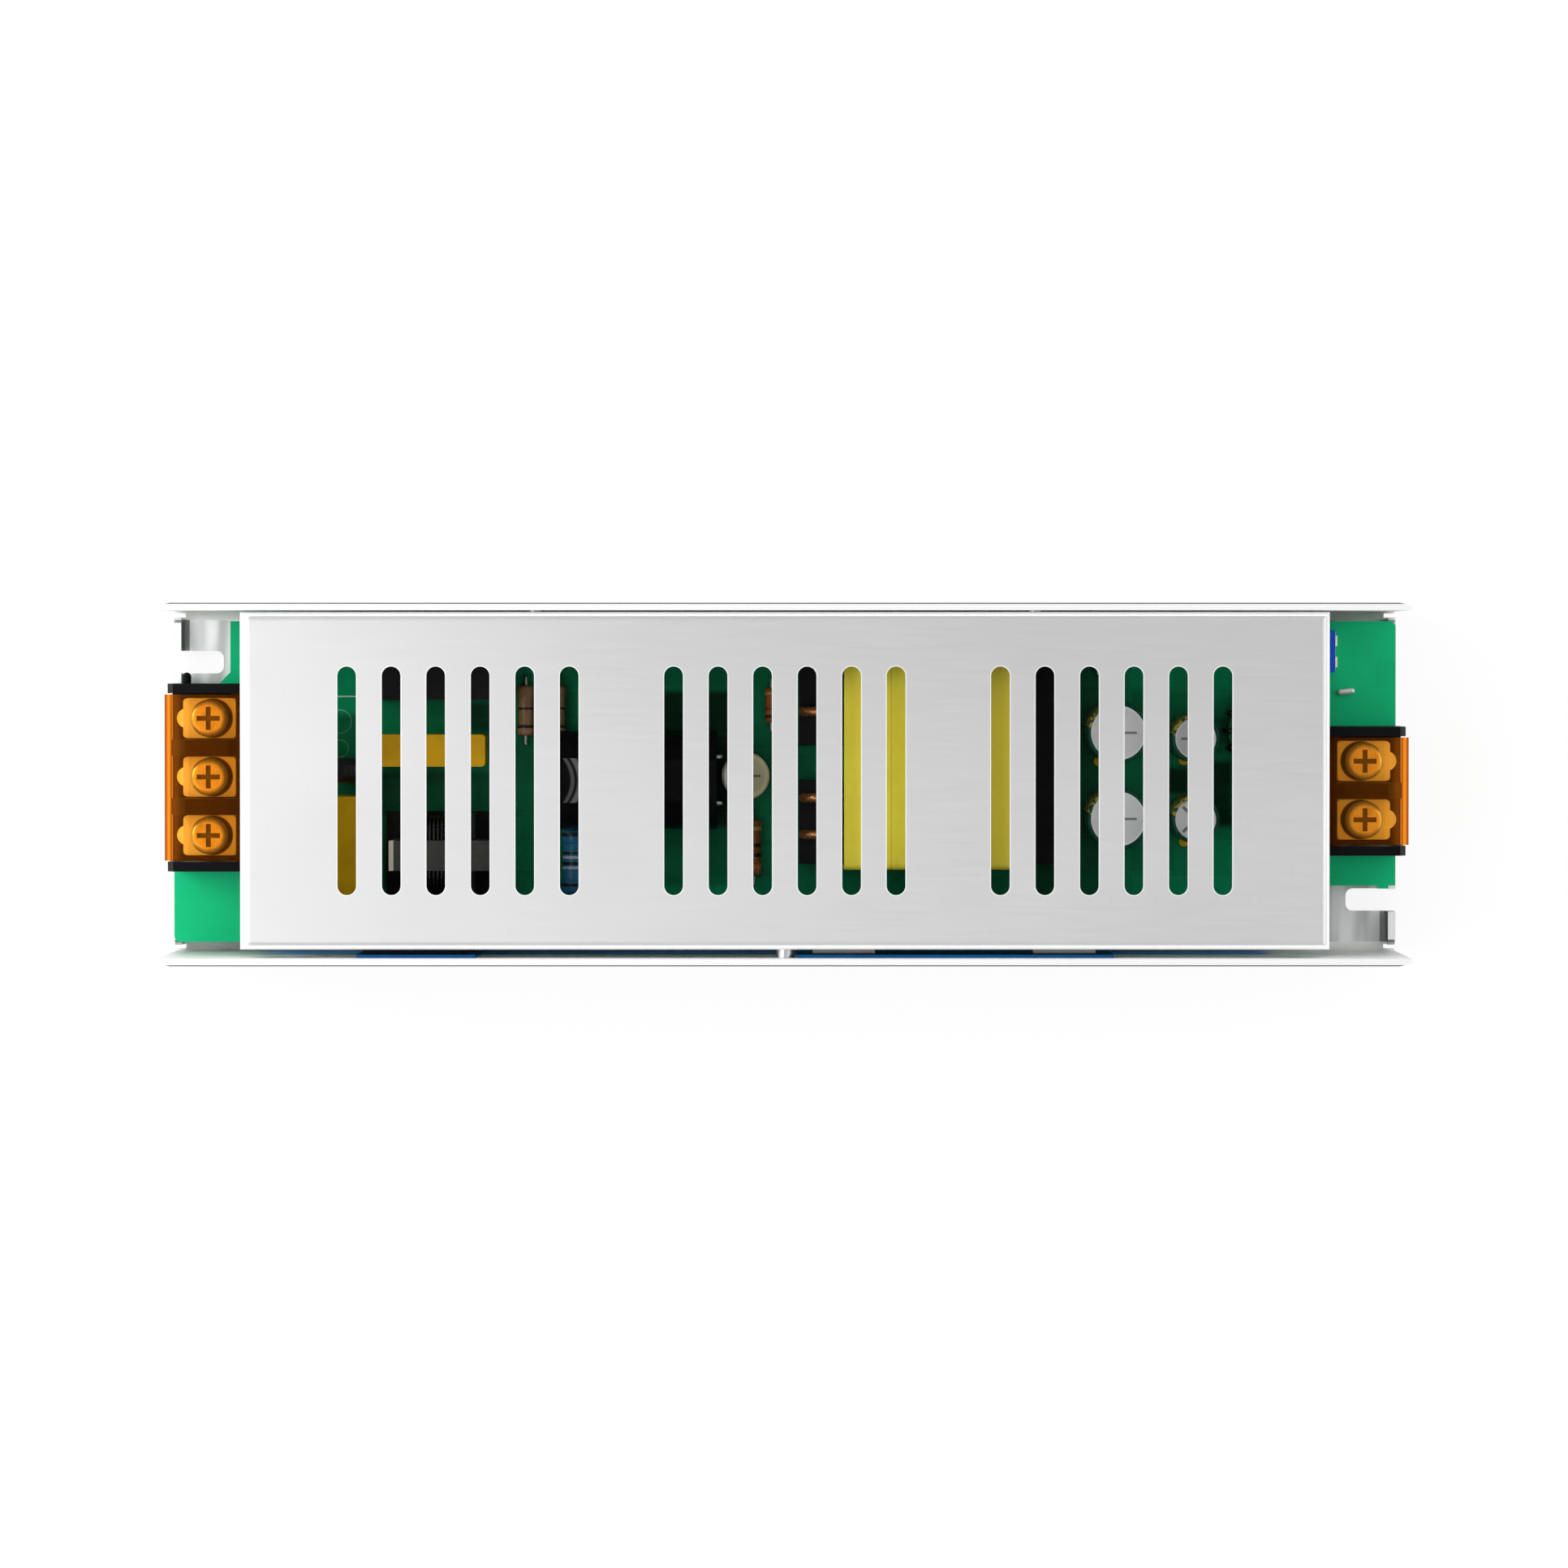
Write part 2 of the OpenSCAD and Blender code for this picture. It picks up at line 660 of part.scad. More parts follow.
module base_channel() {
  color([0.86, 0.87, 0.88]) difference() {
    union() {
      channel_fold();
      end_lips();
    }
    for (side = [-1, 1])
      translate([side * (case_end - notch_reach), -side * notch_offset, -1])
        rotate(side > 0 ? 0 : 180) linear_extrude(lip_height + 2) notch_outline();
    at_standoffs() translate([0, 0, -1]) cylinder(case_sheet + 2, r = spigot_radius);
    at_cover_screws() sunk_hole(2 * case_sheet);
    at_devices() translate([0, 0, -case_sheet - 1]) cylinder(case_sheet + 2, r = tapped_radius);
  }
}

// A block with its top edges rounded on all four sides, its top at z = 0
module lid_block(length, width, depth, radius) {
  intersection() {
    along_x(length) mirror([0, 1]) cup_outline(width, depth, radius);
    along_y(width) mirror([0, 1]) cup_outline(length, depth, radius);
  }
}

module vents() {
  for (g = [0:vent_groups - 1], i = [0:vents_in_group - 1])
    translate([
      (g - (vent_groups - 1) / 2) * vent_group_pitch + (i - (vents_in_group - 1) / 2) * vent_pitch, 0, 0
    ]) vent_outline();
}

module top_cover() {
  cover_length = 2 * cover_end;
  inner_length = cover_length - 2 * cover_sheet;
  inner_width = cover_width - 2 * cover_sheet;
  outer_fold = cover_fold + cover_sheet;
  seam_y = cover_width / 2 - cover_sheet - cover_seam;
  seam_depth = cover_side_flange - outer_fold;
  color([0.84, 0.85, 0.86]) difference() {
    translate([0, cover_middle, cover_top]) difference() {
      lid_block(cover_length, cover_width, cover_side_flange, outer_fold);
      translate([0, 0, -cover_sheet])
        lid_block(inner_length, inner_width, cover_side_flange, cover_fold);
      translate([0, 0, -2 * cover_sheet]) linear_extrude(3 * cover_sheet) vents();
      for (sx = [-1, 1]) {
        translate([sx * cover_end, 0, -cover_end_flange - cover_side_flange])
          cube([2 * outer_fold, 2 * seam_y + 2 * hair, 2 * cover_side_flange], center = true);
        for (sy = [-1, 1])
          translate([sx * cover_end, sy * (seam_y + cover_seam / 2), -outer_fold - seam_depth / 2 - 1])
            cube([2 * outer_fold, cover_seam, seam_depth + 2], center = true);
      }
    }
    at_cover_screws()
      translate([0, 0, -2 * cover_screw_length]) cylinder(2 * cover_screw_length, r = tapped_radius);
  }
}

module cover_screws() color([0.75, 0.76, 0.78]) at_cover_screws() sunk_screw(cover_screw_length);

module insulating_sheet() {
  film_gap = 0.3;
  film_end = cover_end - 1.5;
  film_half = inner_half - wall_fold - film_gap;
  color([0.9, 0.9, 0.86, 0.6]) difference() {
    translate([-film_end, -film_half, floor_top]) cube([2 * film_end, 2 * film_half, sheet_film]);
    at_standoffs() cylinder(board_bottom, r = standoff_radius + film_gap);
  }
}

module board_standoffs() {
  fit = 0.05;
  color([0.7, 0.71, 0.73]) at_standoffs() difference() {
    union() {
      translate([0, 0, floor_top]) cylinder(standoff_height, r = standoff_radius);
      cylinder(floor_top + hair, r = spigot_radius - fit);
    }
    translate([0, 0, -1]) cylinder(board_bottom + 2, r = tapped_radius);
  }
}

module board_screws() {
  thread_reach = standoff_height * 0.8;
  color([0.75, 0.76, 0.78]) at_standoffs()
    translate([0, 0, board_top]) pan_screw(board_thickness + thread_reach);
}

// Board

module board_outline() {
  corner = 1;
  slant = 1.8;
  input_edge = input_offset + block_length(input_ways) / 2;
  notch_x = board_end - input_notch_reach;
  difference() {
    rounded_rect([2 * board_end, 2 * board_half], corner);
    polygon([
      [-board_end - 1, input_edge], [-notch_x - slant, input_edge], [-notch_x, input_edge + slant],
      [-notch_x, board_half + 1], [-board_end - 1, board_half + 1]
    ]);
    translate([board_end - output_notch_reach, -board_half - 1])
      square([output_notch_reach + 1, board_half + 1 - output_notch_offset]);
  }
}

module circuit_board() {
  stub = [1.6, 0.5];
  color([0.08, 0.55, 0.33]) translate([0, 0, board_bottom]) linear_extrude(board_thickness) difference() {
    union() {
      board_outline();
      translate([board_end - 2.9, -output_notch_offset - stub[1]]) square([stub[0], stub[1] + hair]);
    }
    at_standoffs() circle(through_radius);
    translate([-block_back, input_offset]) rotate(180) at_legs(input_ways) circle(leg_hole_radius);
    translate([output_back, output_offset]) at_legs(output_ways) circle(leg_hole_radius);
  }
}

module at_legs(ways) for (i = [0:ways - 1]) translate([leg_x, way_y(i, ways)]) children();

module wire_link() {
  span = 2.8;
  wire = 0.48;
  lift = 0.6;
  lean = 6;
  color([0.82, 0.82, 0.8]) on_board(link_at) rotate(lean) {
    translate([0, 0, lift]) rotate([0, 90, 0]) cylinder(span - 2 * wire, r = wire, center = true);
    for (side = [-1, 1]) translate([side * (span / 2 - wire), 0, 0]) {
      cylinder(lift, r = wire);
      translate([0, 0, lift]) sphere(wire);
    }
  }
}

// Terminal blocks

module at_input() translate([-block_back, input_offset, board_top]) rotate(180) children();

module at_output() translate([output_back, output_offset, board_top]) children();

module end_wall_outline() {
  front_cut = 2;
  polygon([
    [0, 0], [block_depth, 0], [block_depth, block_height - front_cut],
    [block_depth - front_cut / 2, block_height], [0, block_height]
  ]);
}

module barrier_outline() {
  polygon([
    [0, 0], [barrier_toe, 0], [barrier_toe, barrier_toe_height], [barrier_end, barrier_height],
    [back_wall, barrier_height], [0, back_wall_height]
  ]);
}

module terminal_block(ways) {
  length = block_length(ways);
  difference() {
    union() {
      translate([0, -length / 2, 0]) cube([block_depth, length, block_floor]);
      translate([0, -length / 2, 0]) cube([back_wall, length, back_wall_height]);
      for (side = [-1, 1])
        translate([0, side * (length - end_wall) / 2, 0]) along_y(end_wall) end_wall_outline();
      for (i = [0:ways - 2])
        translate([0, way_y(i, ways) + terminal_pitch / 2, 0]) along_y(barrier_width) barrier_outline();
    }
    for (i = [0:ways - 1]) translate([0, way_y(i, ways), 0]) {
      translate([screw_x, 0, pocket_floor]) cylinder(block_floor, r = pocket_radius);
      translate([leg_x, 0, block_floor / 2])
        cube([leg_size[0] + 2 * leg_gap, leg_size[1] + 2 * leg_gap, block_floor + 2], center = true);
    }
    translate([hinge_x, 0, hinge_z])
      rotate([90, 0, 0]) cylinder(length + 2, r = pin_radius + running_gap, center = true);
  }
}

module peg() {
  peg_x = block_depth - 2.8;
  peg_z = 11;
  translate([peg_x, -block_length(input_ways) / 2 + hair, peg_z]) rotate([90, 0, 0]) {
    cylinder(peg_length - peg_diameter / 2, d = peg_diameter);
    translate([0, 0, peg_length - peg_diameter / 2]) sphere(d = peg_diameter);
  }
}

module input_terminal_block() {
  color([0.06, 0.06, 0.07]) at_input() {
    terminal_block(input_ways);
    peg();
  }
}

module output_terminal_block() color([0.06, 0.06, 0.07]) at_output() terminal_block(output_ways);

module contact() {
  plate_length = contact_front - contact_back;
  plate_width = 2 * (bay_half - 0.15);
  translate([0, 0, block_floor]) linear_extrude(contact_sheet) difference() {
    union() {
      translate([contact_back + plate_length / 2, 0]) rounded_rect([plate_length, plate_width], 0.5);
      translate([contact_front - 0.2, 0]) circle(tongue_radius);
    }
    translate([screw_x, 0]) circle(shank_radius + running_gap);
  }
  translate([leg_x - leg_size[0] / 2, -leg_size[1] / 2, -board_thickness - leg_tail])
    cube([leg_size[0], leg_size[1], block_floor + board_thickness + leg_tail + hair]);
}

module contacts(ways) for (i = [0:ways - 1]) translate([0, way_y(i, ways), 0]) contact();

module input_contacts() color([0.82, 0.8, 0.74]) at_input() contacts(input_ways);

module output_contacts() color([0.82, 0.8, 0.74]) at_output() contacts(output_ways);

module clamp() {
  back = back_wall + 0.6;
  front = 2 * screw_x - back;
  color([0.85, 0.84, 0.8]) translate([0, 0, clamp_bottom]) linear_extrude(clamp_sheet) difference() {
    translate([screw_x, 0]) rounded_rect([front - back, 2 * (bay_half - clamp_gap)], 0.6);
    translate([screw_x, 0]) circle(shank_radius + running_gap);
  }
}

module terminal_screw() {
  color([0.86, 0.85, 0.82]) translate([screw_x, 0, clamp_top + seat_gap]) {
    pan_head(head_radius, head_height);
    translate([0, 0, -shank_length]) cylinder(shank_length + hair, r = shank_radius);
  }
}

module at_input_way(i) at_input() translate([0, way_y(i, input_ways), 0]) children();

module at_output_way(i) at_output() translate([0, way_y(i, output_ways), 0]) children();

module line_clamp() at_input_way(0) clamp();
module neutral_clamp() at_input_way(1) clamp();
module earth_clamp() at_input_way(2) clamp();
module negative_clamp() at_output_way(0) clamp();
module positive_clamp() at_output_way(1) clamp();
module line_screw() at_input_way(0) terminal_screw();
module neutral_screw() at_input_way(1) terminal_screw();
module earth_screw() at_input_way(2) terminal_screw();
module negative_screw() at_output_way(0) terminal_screw();
module positive_screw() at_output_way(1) terminal_screw();

// A flap's section: a bead round the hinge, a plate and a rounded front edge turned down
module flap_outline() {
  front = block_depth + flap_overhang;
  corner = flap_sheet * 0.8;
  translate([hinge_x, hinge_z]) circle(bead_radius);
  translate([hinge_x, flap_under]) square([front - corner - hinge_x, flap_sheet]);
  translate([front - flap_sheet, flap_under - flap_lip]) square([flap_sheet, flap_lip + flap_sheet - corner]);
  translate([front - corner, flap_top - corner]) circle(corner);
}

module flap(ways) {
  length = block_length(ways) - 2 * end_wall - 2 * flap_side_gap;
  pin_span = length + 2 * flap_side_gap + 2 * pin_length;
  color([0.9, 0.48, 0.08, 0.75]) {
    along_y(length) flap_outline();
    translate([hinge_x, 0, hinge_z]) rotate([90, 0, 0]) cylinder(pin_span, r = pin_radius, center = true);
  }
}

module input_flap() at_input() flap(input_ways);

module output_flap() at_output() flap(output_ways);

// Input side

module on_board(place) translate([place[0], place[1], board_top]) children();

// Places children across from a neighbour, measured along the board from it
module beside(neighbour, place) on_board([neighbour[0] + place[0], place[1]]) children();

// Places children along the board from a neighbour and in from the board's +y edge
module along_edge(neighbour, inset) beside(neighbour, [inset[0], board_half - inset[1]]) children();

module fuse_holder() {
  lid_line = 0.3;
  lid_z = fuse_size[2] * 0.6;
  color([0.07, 0.07, 0.08]) along_edge(choke_at, fuse_inset) difference() {
    rounded_block(fuse_size, 1);
    translate([0, 0, lid_z]) difference() {
      linear_extrude(lid_line) square([fuse_size[0] + 1, fuse_size[1] + 1], center = true);
      rounded_block([fuse_size[0] - 2 * lid_line, fuse_size[1] - 2 * lid_line, 1], 0.7);
    }
  }
}

module inrush_thermistor() {
  thickness = 4;
  lift = 1.5;
  lead_pitch = 5;
  color([0.08, 0.08, 0.09])
    beside(choke_at, thermistor_at) disc(thermistor_diameter, thickness, lift, lead_pitch);
}

module line_capacitor() {
  color([0.68, 0.53, 0.1]) on_board(line_capacitor_at) rounded_block(line_capacitor_size, 0.8);
}

module filter_capacitor() {
  color([0.8, 0.68, 0.14]) beside(choke_at, filter_capacitor_at) rounded_block(filter_capacitor_size, 0.6);
}

// A closed ferrite frame with a bar across its middle
module choke_core() {
  window = (choke_size[2] - 3 * choke_bar) / 2;
  window_length = choke_size[0] - 2 * choke_bar;
  color([0.45, 0.46, 0.47]) on_board(choke_at) translate([0, 0, core_middle]) difference() {
    cube(choke_size, center = true);
    for (side = [-1, 1])
      translate([0, 0, side * (choke_bar + window) / 2])
        cube([window_length, choke_bar + 1, window], center = true);
  }
}

module choke_tube(wall) {
  side = choke_bar + 2 * bobbin_gap;
  difference() {
    square([side + 2 * wall, side + 2 * wall], center = true);
    square([side, side], center = true);
  }
}

// The bobbin: a tube round the middle bar with three flanges, on feet beside the core
module choke_bobbin() {
  foot_y = choke_bar / 2 + bobbin_gap;
  foot_width = choke_width / 2 - foot_y;
  foot_height = core_middle - bobbin_half_height - choke_base;
  flange_x = bobbin_reach - flange_sheet / 2;
  color([0.08, 0.08, 0.09]) on_board(choke_at) {
    translate([-choke_size[0] / 2 - pin_shelf, -choke_width / 2, 0])
      cube([choke_size[0] + pin_shelf, choke_width, choke_base]);
    translate([0, 0, core_middle]) {
      along_x(2 * bobbin_reach) choke_tube(bobbin_wall);
      for (i = [-1, 0, 1]) translate([i * flange_x, 0, 0]) along_x(flange_sheet) difference() {
        square([choke_width, 2 * bobbin_half_height], center = true);
        square(choke_bar + 2 * bobbin_gap, center = true);
      }
    }
    for (i = [-1, 1], side = [-1, 1])
      translate([i * flange_x, side * (foot_y + foot_width / 2), choke_base + foot_height / 2])
        cube([flange_sheet, foot_width, foot_height + 2 * hair], center = true);
  }
}

module choke_windings() {
  bay = bobbin_reach - 1.5 * flange_sheet - 2 * winding_gap;
  tube = choke_bar + 2 * bobbin_gap + 2 * bobbin_wall + 2 * winding_gap;
  color([0.72, 0.4, 0.2]) on_board(choke_at) translate([0, 0, core_middle]) for (side = [-1, 1])
    translate([side * (bay / 2 + flange_sheet / 2 + winding_gap), 0, 0]) along_x(bay) difference() {
      rounded_rect([choke_width - 1, 2 * bobbin_half_height - 0.4], 1.5);
      square(tube, center = true);
    }
}

module device_legs(count, pitch, y, height) {
  leg = [0.9, 0.5];
  for (i = [0:count - 1])
    translate([(i - (count - 1) / 2) * pitch - leg[0] / 2, y - leg[1] / 2, 0])
      cube([leg[0], leg[1], height + hair]);
}

module rectifier_bridge() {
  leg_pitch = 5;
  bevel = 1.5;
  leg_y = 2;
  color([0.09, 0.09, 0.1]) translate([bridge_x, device_back, board_top]) {
    translate([0, bridge_size[1] / 2, device_lift]) difference() {
      translate([0, 0, bridge_size[2] / 2]) cube(bridge_size, center = true);
      translate([bridge_size[0] / 2, 0, bridge_size[2]])
        rotate([0, 45, 0]) cube([bevel * 2, bridge_size[1] + 1, bevel * 2], center = true);
      translate([0, 0, device_hole_z - board_top - device_lift])
        rotate([90, 0, 0]) cylinder(bridge_size[1] + 1, r = through_radius, center = true);
    }
    device_legs(4, leg_pitch, leg_y, device_lift);
  }
}

// The can lies along x with its scored end towards the input and its leads at the other end
module bulk_capacitor() {
  lift = 0.2;
  lead = 0.4;
  lead_pitch = 7.5;
  lead_reach = 0.6;
  radius = bulk_diameter / 2;
  color([0.05, 0.05, 0.06]) on_board(bulk_at) {
    translate([bulk_length / 2, 0, lift + radius]) rotate([0, -90, 0]) can(bulk_diameter, bulk_length);
    for (side = [-1, 1]) translate([bulk_length / 2 + lead_reach, side * lead_pitch / 2, 0]) {
      cylinder(lift + radius, r = lead);
      translate([0, 0, lift + radius]) sphere(lead);
      translate([-lead_reach - 0.2, 0, lift + radius])
        rotate([0, 90, 0]) cylinder(lead_reach + 0.2, r = lead);
    }
  }
}

// Converter

module bleeder_resistors() {
  color([0.62, 0.42, 0.22]) for (i = [0, 1])
    beside(choke_at, bleeder_at + [i * bleeder_pitch, 0]) resistor(bleeder_size[0], bleeder_size[1]);
}

module snubber_resistor() {
  color([0.13, 0.45, 0.58]) beside(bulk_at, snubber_at) resistor(snubber_size[0], snubber_size[1]);
}

module startup_capacitor() {
  color([0.06, 0.16, 0.12]) on_board(startup_at) can(startup_diameter, startup_height);
}

module damping_resistor() {
  color([0.7, 0.36, 0.12]) beside(startup_at, damping_at) resistor(damping_size[0], damping_size[1]);
}

module sense_resistor() {
  color([0.5, 0.3, 0.16]) beside(startup_at, sense_at) resistor(sense_size[0], sense_size[1]);
}

module control_chip() {
  pins_a_side = 4;
  color([0.08, 0.08, 0.09]) along_edge(bulk_at, chip_inset) dual_in_line(pins_a_side, chip_width);
}

module optocoupler() {
  pins_a_side = 2;
  color([0.08, 0.08, 0.09])
    along_edge([row_x(5), 0], optocoupler_inset) dual_in_line(pins_a_side, chip_width);
}

module safety_capacitor() {
  lift = 2;
  lead_pitch = 5;
  side_y = transformer_at[1] + sleeve_width / 2;
  color([0.15, 0.35, 0.6]) beside(transformer_at, [safety_at[0], side_y + safety_at[1]])
    disc(safety_size[0], safety_size[1], lift, lead_pitch);
}

// A power device: a metal tab against the wall, a moulded body in front of it and three legs
module power_device(x) {
  leg_pitch = 2.54;
  leg_y = 2.6;
  notch = 1;
  translate([x, device_back, board_top]) {
    translate([0, 0, device_lift]) difference() {
      union() {
        translate([-device_width / 2, 0, 0]) cube([device_width, device_tab, device_tab_height]);
        translate([-device_width / 2, 0, 0]) cube([device_width, device_thickness, device_body_height]);
      }
      translate([0, -1, device_hole_z - board_top - device_lift])
        rotate([-90, 0, 0]) cylinder(device_tab + 2, r = through_radius);
      for (side = [-1, 1])
        translate([side * device_width / 2, device_tab / 2, device_body_height + 2.4])
          cube([notch, device_tab + 1, 2], center = true);
    }
    device_legs(3, leg_pitch, leg_y, device_lift);
  }
}

module switching_transistor() color([0.12, 0.12, 0.13]) power_device(transistor_x);

module output_rectifier() color([0.12, 0.12, 0.13]) power_device(rectifier_x);

module heat_pads() {
  height = pad_top - pad_bottom;
  color([0.05, 0.32, 0.6]) difference() {
    union() {
      translate([bridge_x - bridge_pad_width / 2, -inner_half, pad_bottom])
        cube([bridge_pad_width, pad_thickness, height]);
      translate([pad_start, -inner_half, pad_bottom]) cube([pad_end - pad_start, pad_thickness, height]);
    }
    at_devices() translate([0, 0, -1]) cylinder(pad_thickness + 2, r = through_radius);
  }
}

module device_screws() {
  wall_reach = pad_thickness + case_sheet;
  color([0.75, 0.76, 0.78]) {
    for (x = [transistor_x, rectifier_x])
      translate([x, device_back + device_tab, device_hole_z])
        rotate([-90, 0, 0]) pan_screw(device_tab + wall_reach);
    translate([bridge_x, device_back + bridge_size[1], device_hole_z])
      rotate([-90, 0, 0]) pan_screw(bridge_size[1] + wall_reach);
  }
}

// Two E-shaped halves that meet in the middle of the winding
module transformer_core() {
  core_width = sleeve_width - 2 * sleeve_tape;
  air_gap = 0.1;
  color([0.22, 0.22, 0.23]) on_board(transformer_at) translate([0, 0, core_z - core_height / 2])
    for (side = [-1, 1]) linear_extrude(core_height) difference() {
      translate([side * (sleeve_length + air_gap) / 4, 0])
        square([(sleeve_length - air_gap) / 2, core_width], center = true);
      for (sy = [-1, 1])
        translate([0, sy * (centre_leg + window_width) / 2])
          square([window_length, window_width], center = true);
    }
}

// The bobbin: a tube round the middle leg, two flanges, and pin rails on the board
module transformer_bobbin() {
  flange = 0.8;
  flange_x = window_length / 2 - flange - spool_gap;
  tube_y = centre_leg / 2 + spool_gap;
  tube_z = core_height / 2 + spool_gap;
  spool_half = centre_leg / 2 + window_width - spool_gap;
  rail_width = sleeve_width - 1;
  rail_x = sleeve_length / 2;
  split = [rail_length + 1, rail_split, rail_height + 1];
  color([0.08, 0.08, 0.09]) on_board(transformer_at) {
    difference() {
      union() {
        translate([0, 0, core_z]) along_x(2 * flange_x + flange)
          square([2 * (tube_y + spool_wall), 2 * (tube_z + spool_wall)], center = true);
        for (side = [-1, 1]) translate([side * flange_x, 0, 0]) {
          translate([0, 0, core_z])
            along_x(flange) square([2 * spool_half, 2 * (winding_half_height - 0.3)], center = true);
          translate([-flange / 2, -spool_half, rail_base - hair])
            cube([flange, 2 * spool_half, core_z - winding_half_height - rail_base + 1]);
        }
      }
      translate([0, 0, core_z]) cube([sleeve_length, 2 * tube_y, 2 * tube_z], center = true);
    }
    for (side = [-1, 1]) difference() {
      union() {
        translate([side * (flange_x - flange / 2 + rail_x + rail_length) / 2, 0, rail_base / 2])
          cube([rail_x + rail_length - flange_x + flange / 2, rail_width, rail_base], center = true);
        translate([side * (rail_x + rail_length / 2 + 0.2), 0, rail_height / 2])
          cube([rail_length - 0.4, rail_width, rail_height], center = true);
      }
      if (side < 0)
        translate([side * (rail_x + rail_length / 2), 0, rail_height / 2]) cube(split, center = true);
    }
  }
}

module transformer_winding() {
  gap = 0.2;
  tube_wall = 2 * spool_gap + 2 * spool_wall + gap;
  tube = [centre_leg + tube_wall, core_height + tube_wall];
  coil = [2 * (centre_leg / 2 + window_width - 2 * spool_gap), 2 * winding_half_height - 2 * gap];
  coil_length = window_length - 4;
  color([0.75, 0.45, 0.22]) on_board(transformer_at) translate([0, 0, core_z])
    along_x(coil_length) difference() {
      rounded_rect(coil, 2.5);
      square(tube, center = true);
    }
}

// Tape laid over the top of the transformer and down its two sides
module transformer_sleeve() {
  skirt = core_z - core_height / 2 - 1;
  inner_width = sleeve_width - 2 * sleeve_tape;
  corner = 1;
  color([0.8, 0.73, 0.2]) on_board(transformer_at) along_x(sleeve_length) difference() {
    translate([0, transformer_height])
      mirror([0, 1]) cup_outline(sleeve_width, transformer_height - skirt, corner);
    translate([0, transformer_height - sleeve_tape])
      mirror([0, 1]) cup_outline(inner_width, transformer_height, corner - sleeve_tape / 2);
  }
}

// Wire bows from the winding over the pin rail
module transformer_leads() {
  bow = rail_length / 2 - lead_radius - 0.1;
  color([0.8, 0.42, 0.18]) on_board(transformer_at) for (y = lead_places)
    translate([-sleeve_length / 2 - rail_length / 2 - 0.2, y, rail_height]) rotate([90, 0, 0])
      rotate_extrude(angle = 180) translate([bow, 0]) circle(lead_radius);
}

// Output side

module output_capacitors_large() {
  color([0.05, 0.17, 0.13]) for (y = large_cans_y)
    on_board([row_x(5), y]) can(large_can_diameter, large_can_height);
}

module output_capacitors_small() {
  color([0.05, 0.17, 0.13]) for (y = small_cans_y)
    on_board([row_x(6), y]) can(small_can_diameter, small_can_height);
}

module ring_outline(grow) {
  width = (ring_diameter - ring_bore) / 2;
  translate([(ring_diameter + ring_bore) / 4, 0])
    square([width + 2 * grow, ring_height + 2 * grow], center = true);
}

module at_ring() on_board(ring_at) translate([0, 0, choke_wire + winding_gap + ring_height / 2]) children();

module output_choke_core() color([0.1, 0.35, 0.2]) at_ring() rotate_extrude() ring_outline(0);

// Turns of wire round the ring
module output_choke_winding() {
  turns = 14;
  color([0.06, 0.1, 0.08]) at_ring() for (i = [0:turns - 1])
    rotate((i + 0.5) * 360 / turns) along_y(choke_wire) difference() {
      ring_outline(choke_wire + winding_gap);
      ring_outline(winding_gap);
    }
}

module trimmer_body() {
  foot = [0.6, 1.7, 0.6];
  color([0.05, 0.25, 0.7]) on_board(trimmer_at) {
    difference() {
      rounded_block([trimmer_side, trimmer_side, trimmer_height], 0.4);
      translate([0, 0, trimmer_height - rotor_depth])
        cylinder(2 * rotor_depth, r = rotor_radius + running_gap);
    }
    for (side = [-1, 1])
      translate([trimmer_side / 2 - hair, side * trimmer_side / 4 - foot[1] / 2, 0]) cube(foot);
  }
}

module trimmer_rotor() {
  slot = 0.8;
  color([0.92, 0.9, 0.82]) on_board(trimmer_at)
    translate([0, 0, trimmer_height - rotor_depth + seat_gap]) difference() {
      cylinder(rotor_height, r = rotor_radius);
      translate([-rotor_radius, -slot / 2, rotor_height / 2]) cube([1.6 * rotor_radius, slot, rotor_height]);
    }
}

base_channel();
top_cover();
cover_screws();
insulating_sheet();
board_standoffs();
board_screws();
circuit_board();
wire_link();
input_terminal_block();
input_contacts();
input_flap();
line_clamp();
neutral_clamp();
earth_clamp();
line_screw();
neutral_screw();
earth_screw();
output_terminal_block();
output_contacts();
output_flap();
positive_clamp();
negative_clamp();
positive_screw();
negative_screw();
fuse_holder();
inrush_thermistor();
line_capacitor();
filter_capacitor();
choke_core();
choke_bobbin();
choke_windings();
rectifier_bridge();
bulk_capacitor();
bleeder_resistors();
snubber_resistor();
startup_capacitor();
damping_resistor();
sense_resistor();
control_chip();
optocoupler();
safety_capacitor();
switching_transistor();
output_rectifier();
heat_pads();
device_screws();
transformer_core();
transformer_bobbin();
transformer_winding();
transformer_sleeve();
transformer_leads();
output_capacitors_large();
output_capacitors_small();
output_choke_core();
output_choke_winding();
trimmer_body();
trimmer_rotor();
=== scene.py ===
"""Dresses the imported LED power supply: finishes for its solids, wound wire, solder and the photo's stage."""

import math

import bpy
from bpy.props import FloatProperty, FloatVectorProperty, IntProperty, PointerProperty
from mathutils import Matrix, Vector


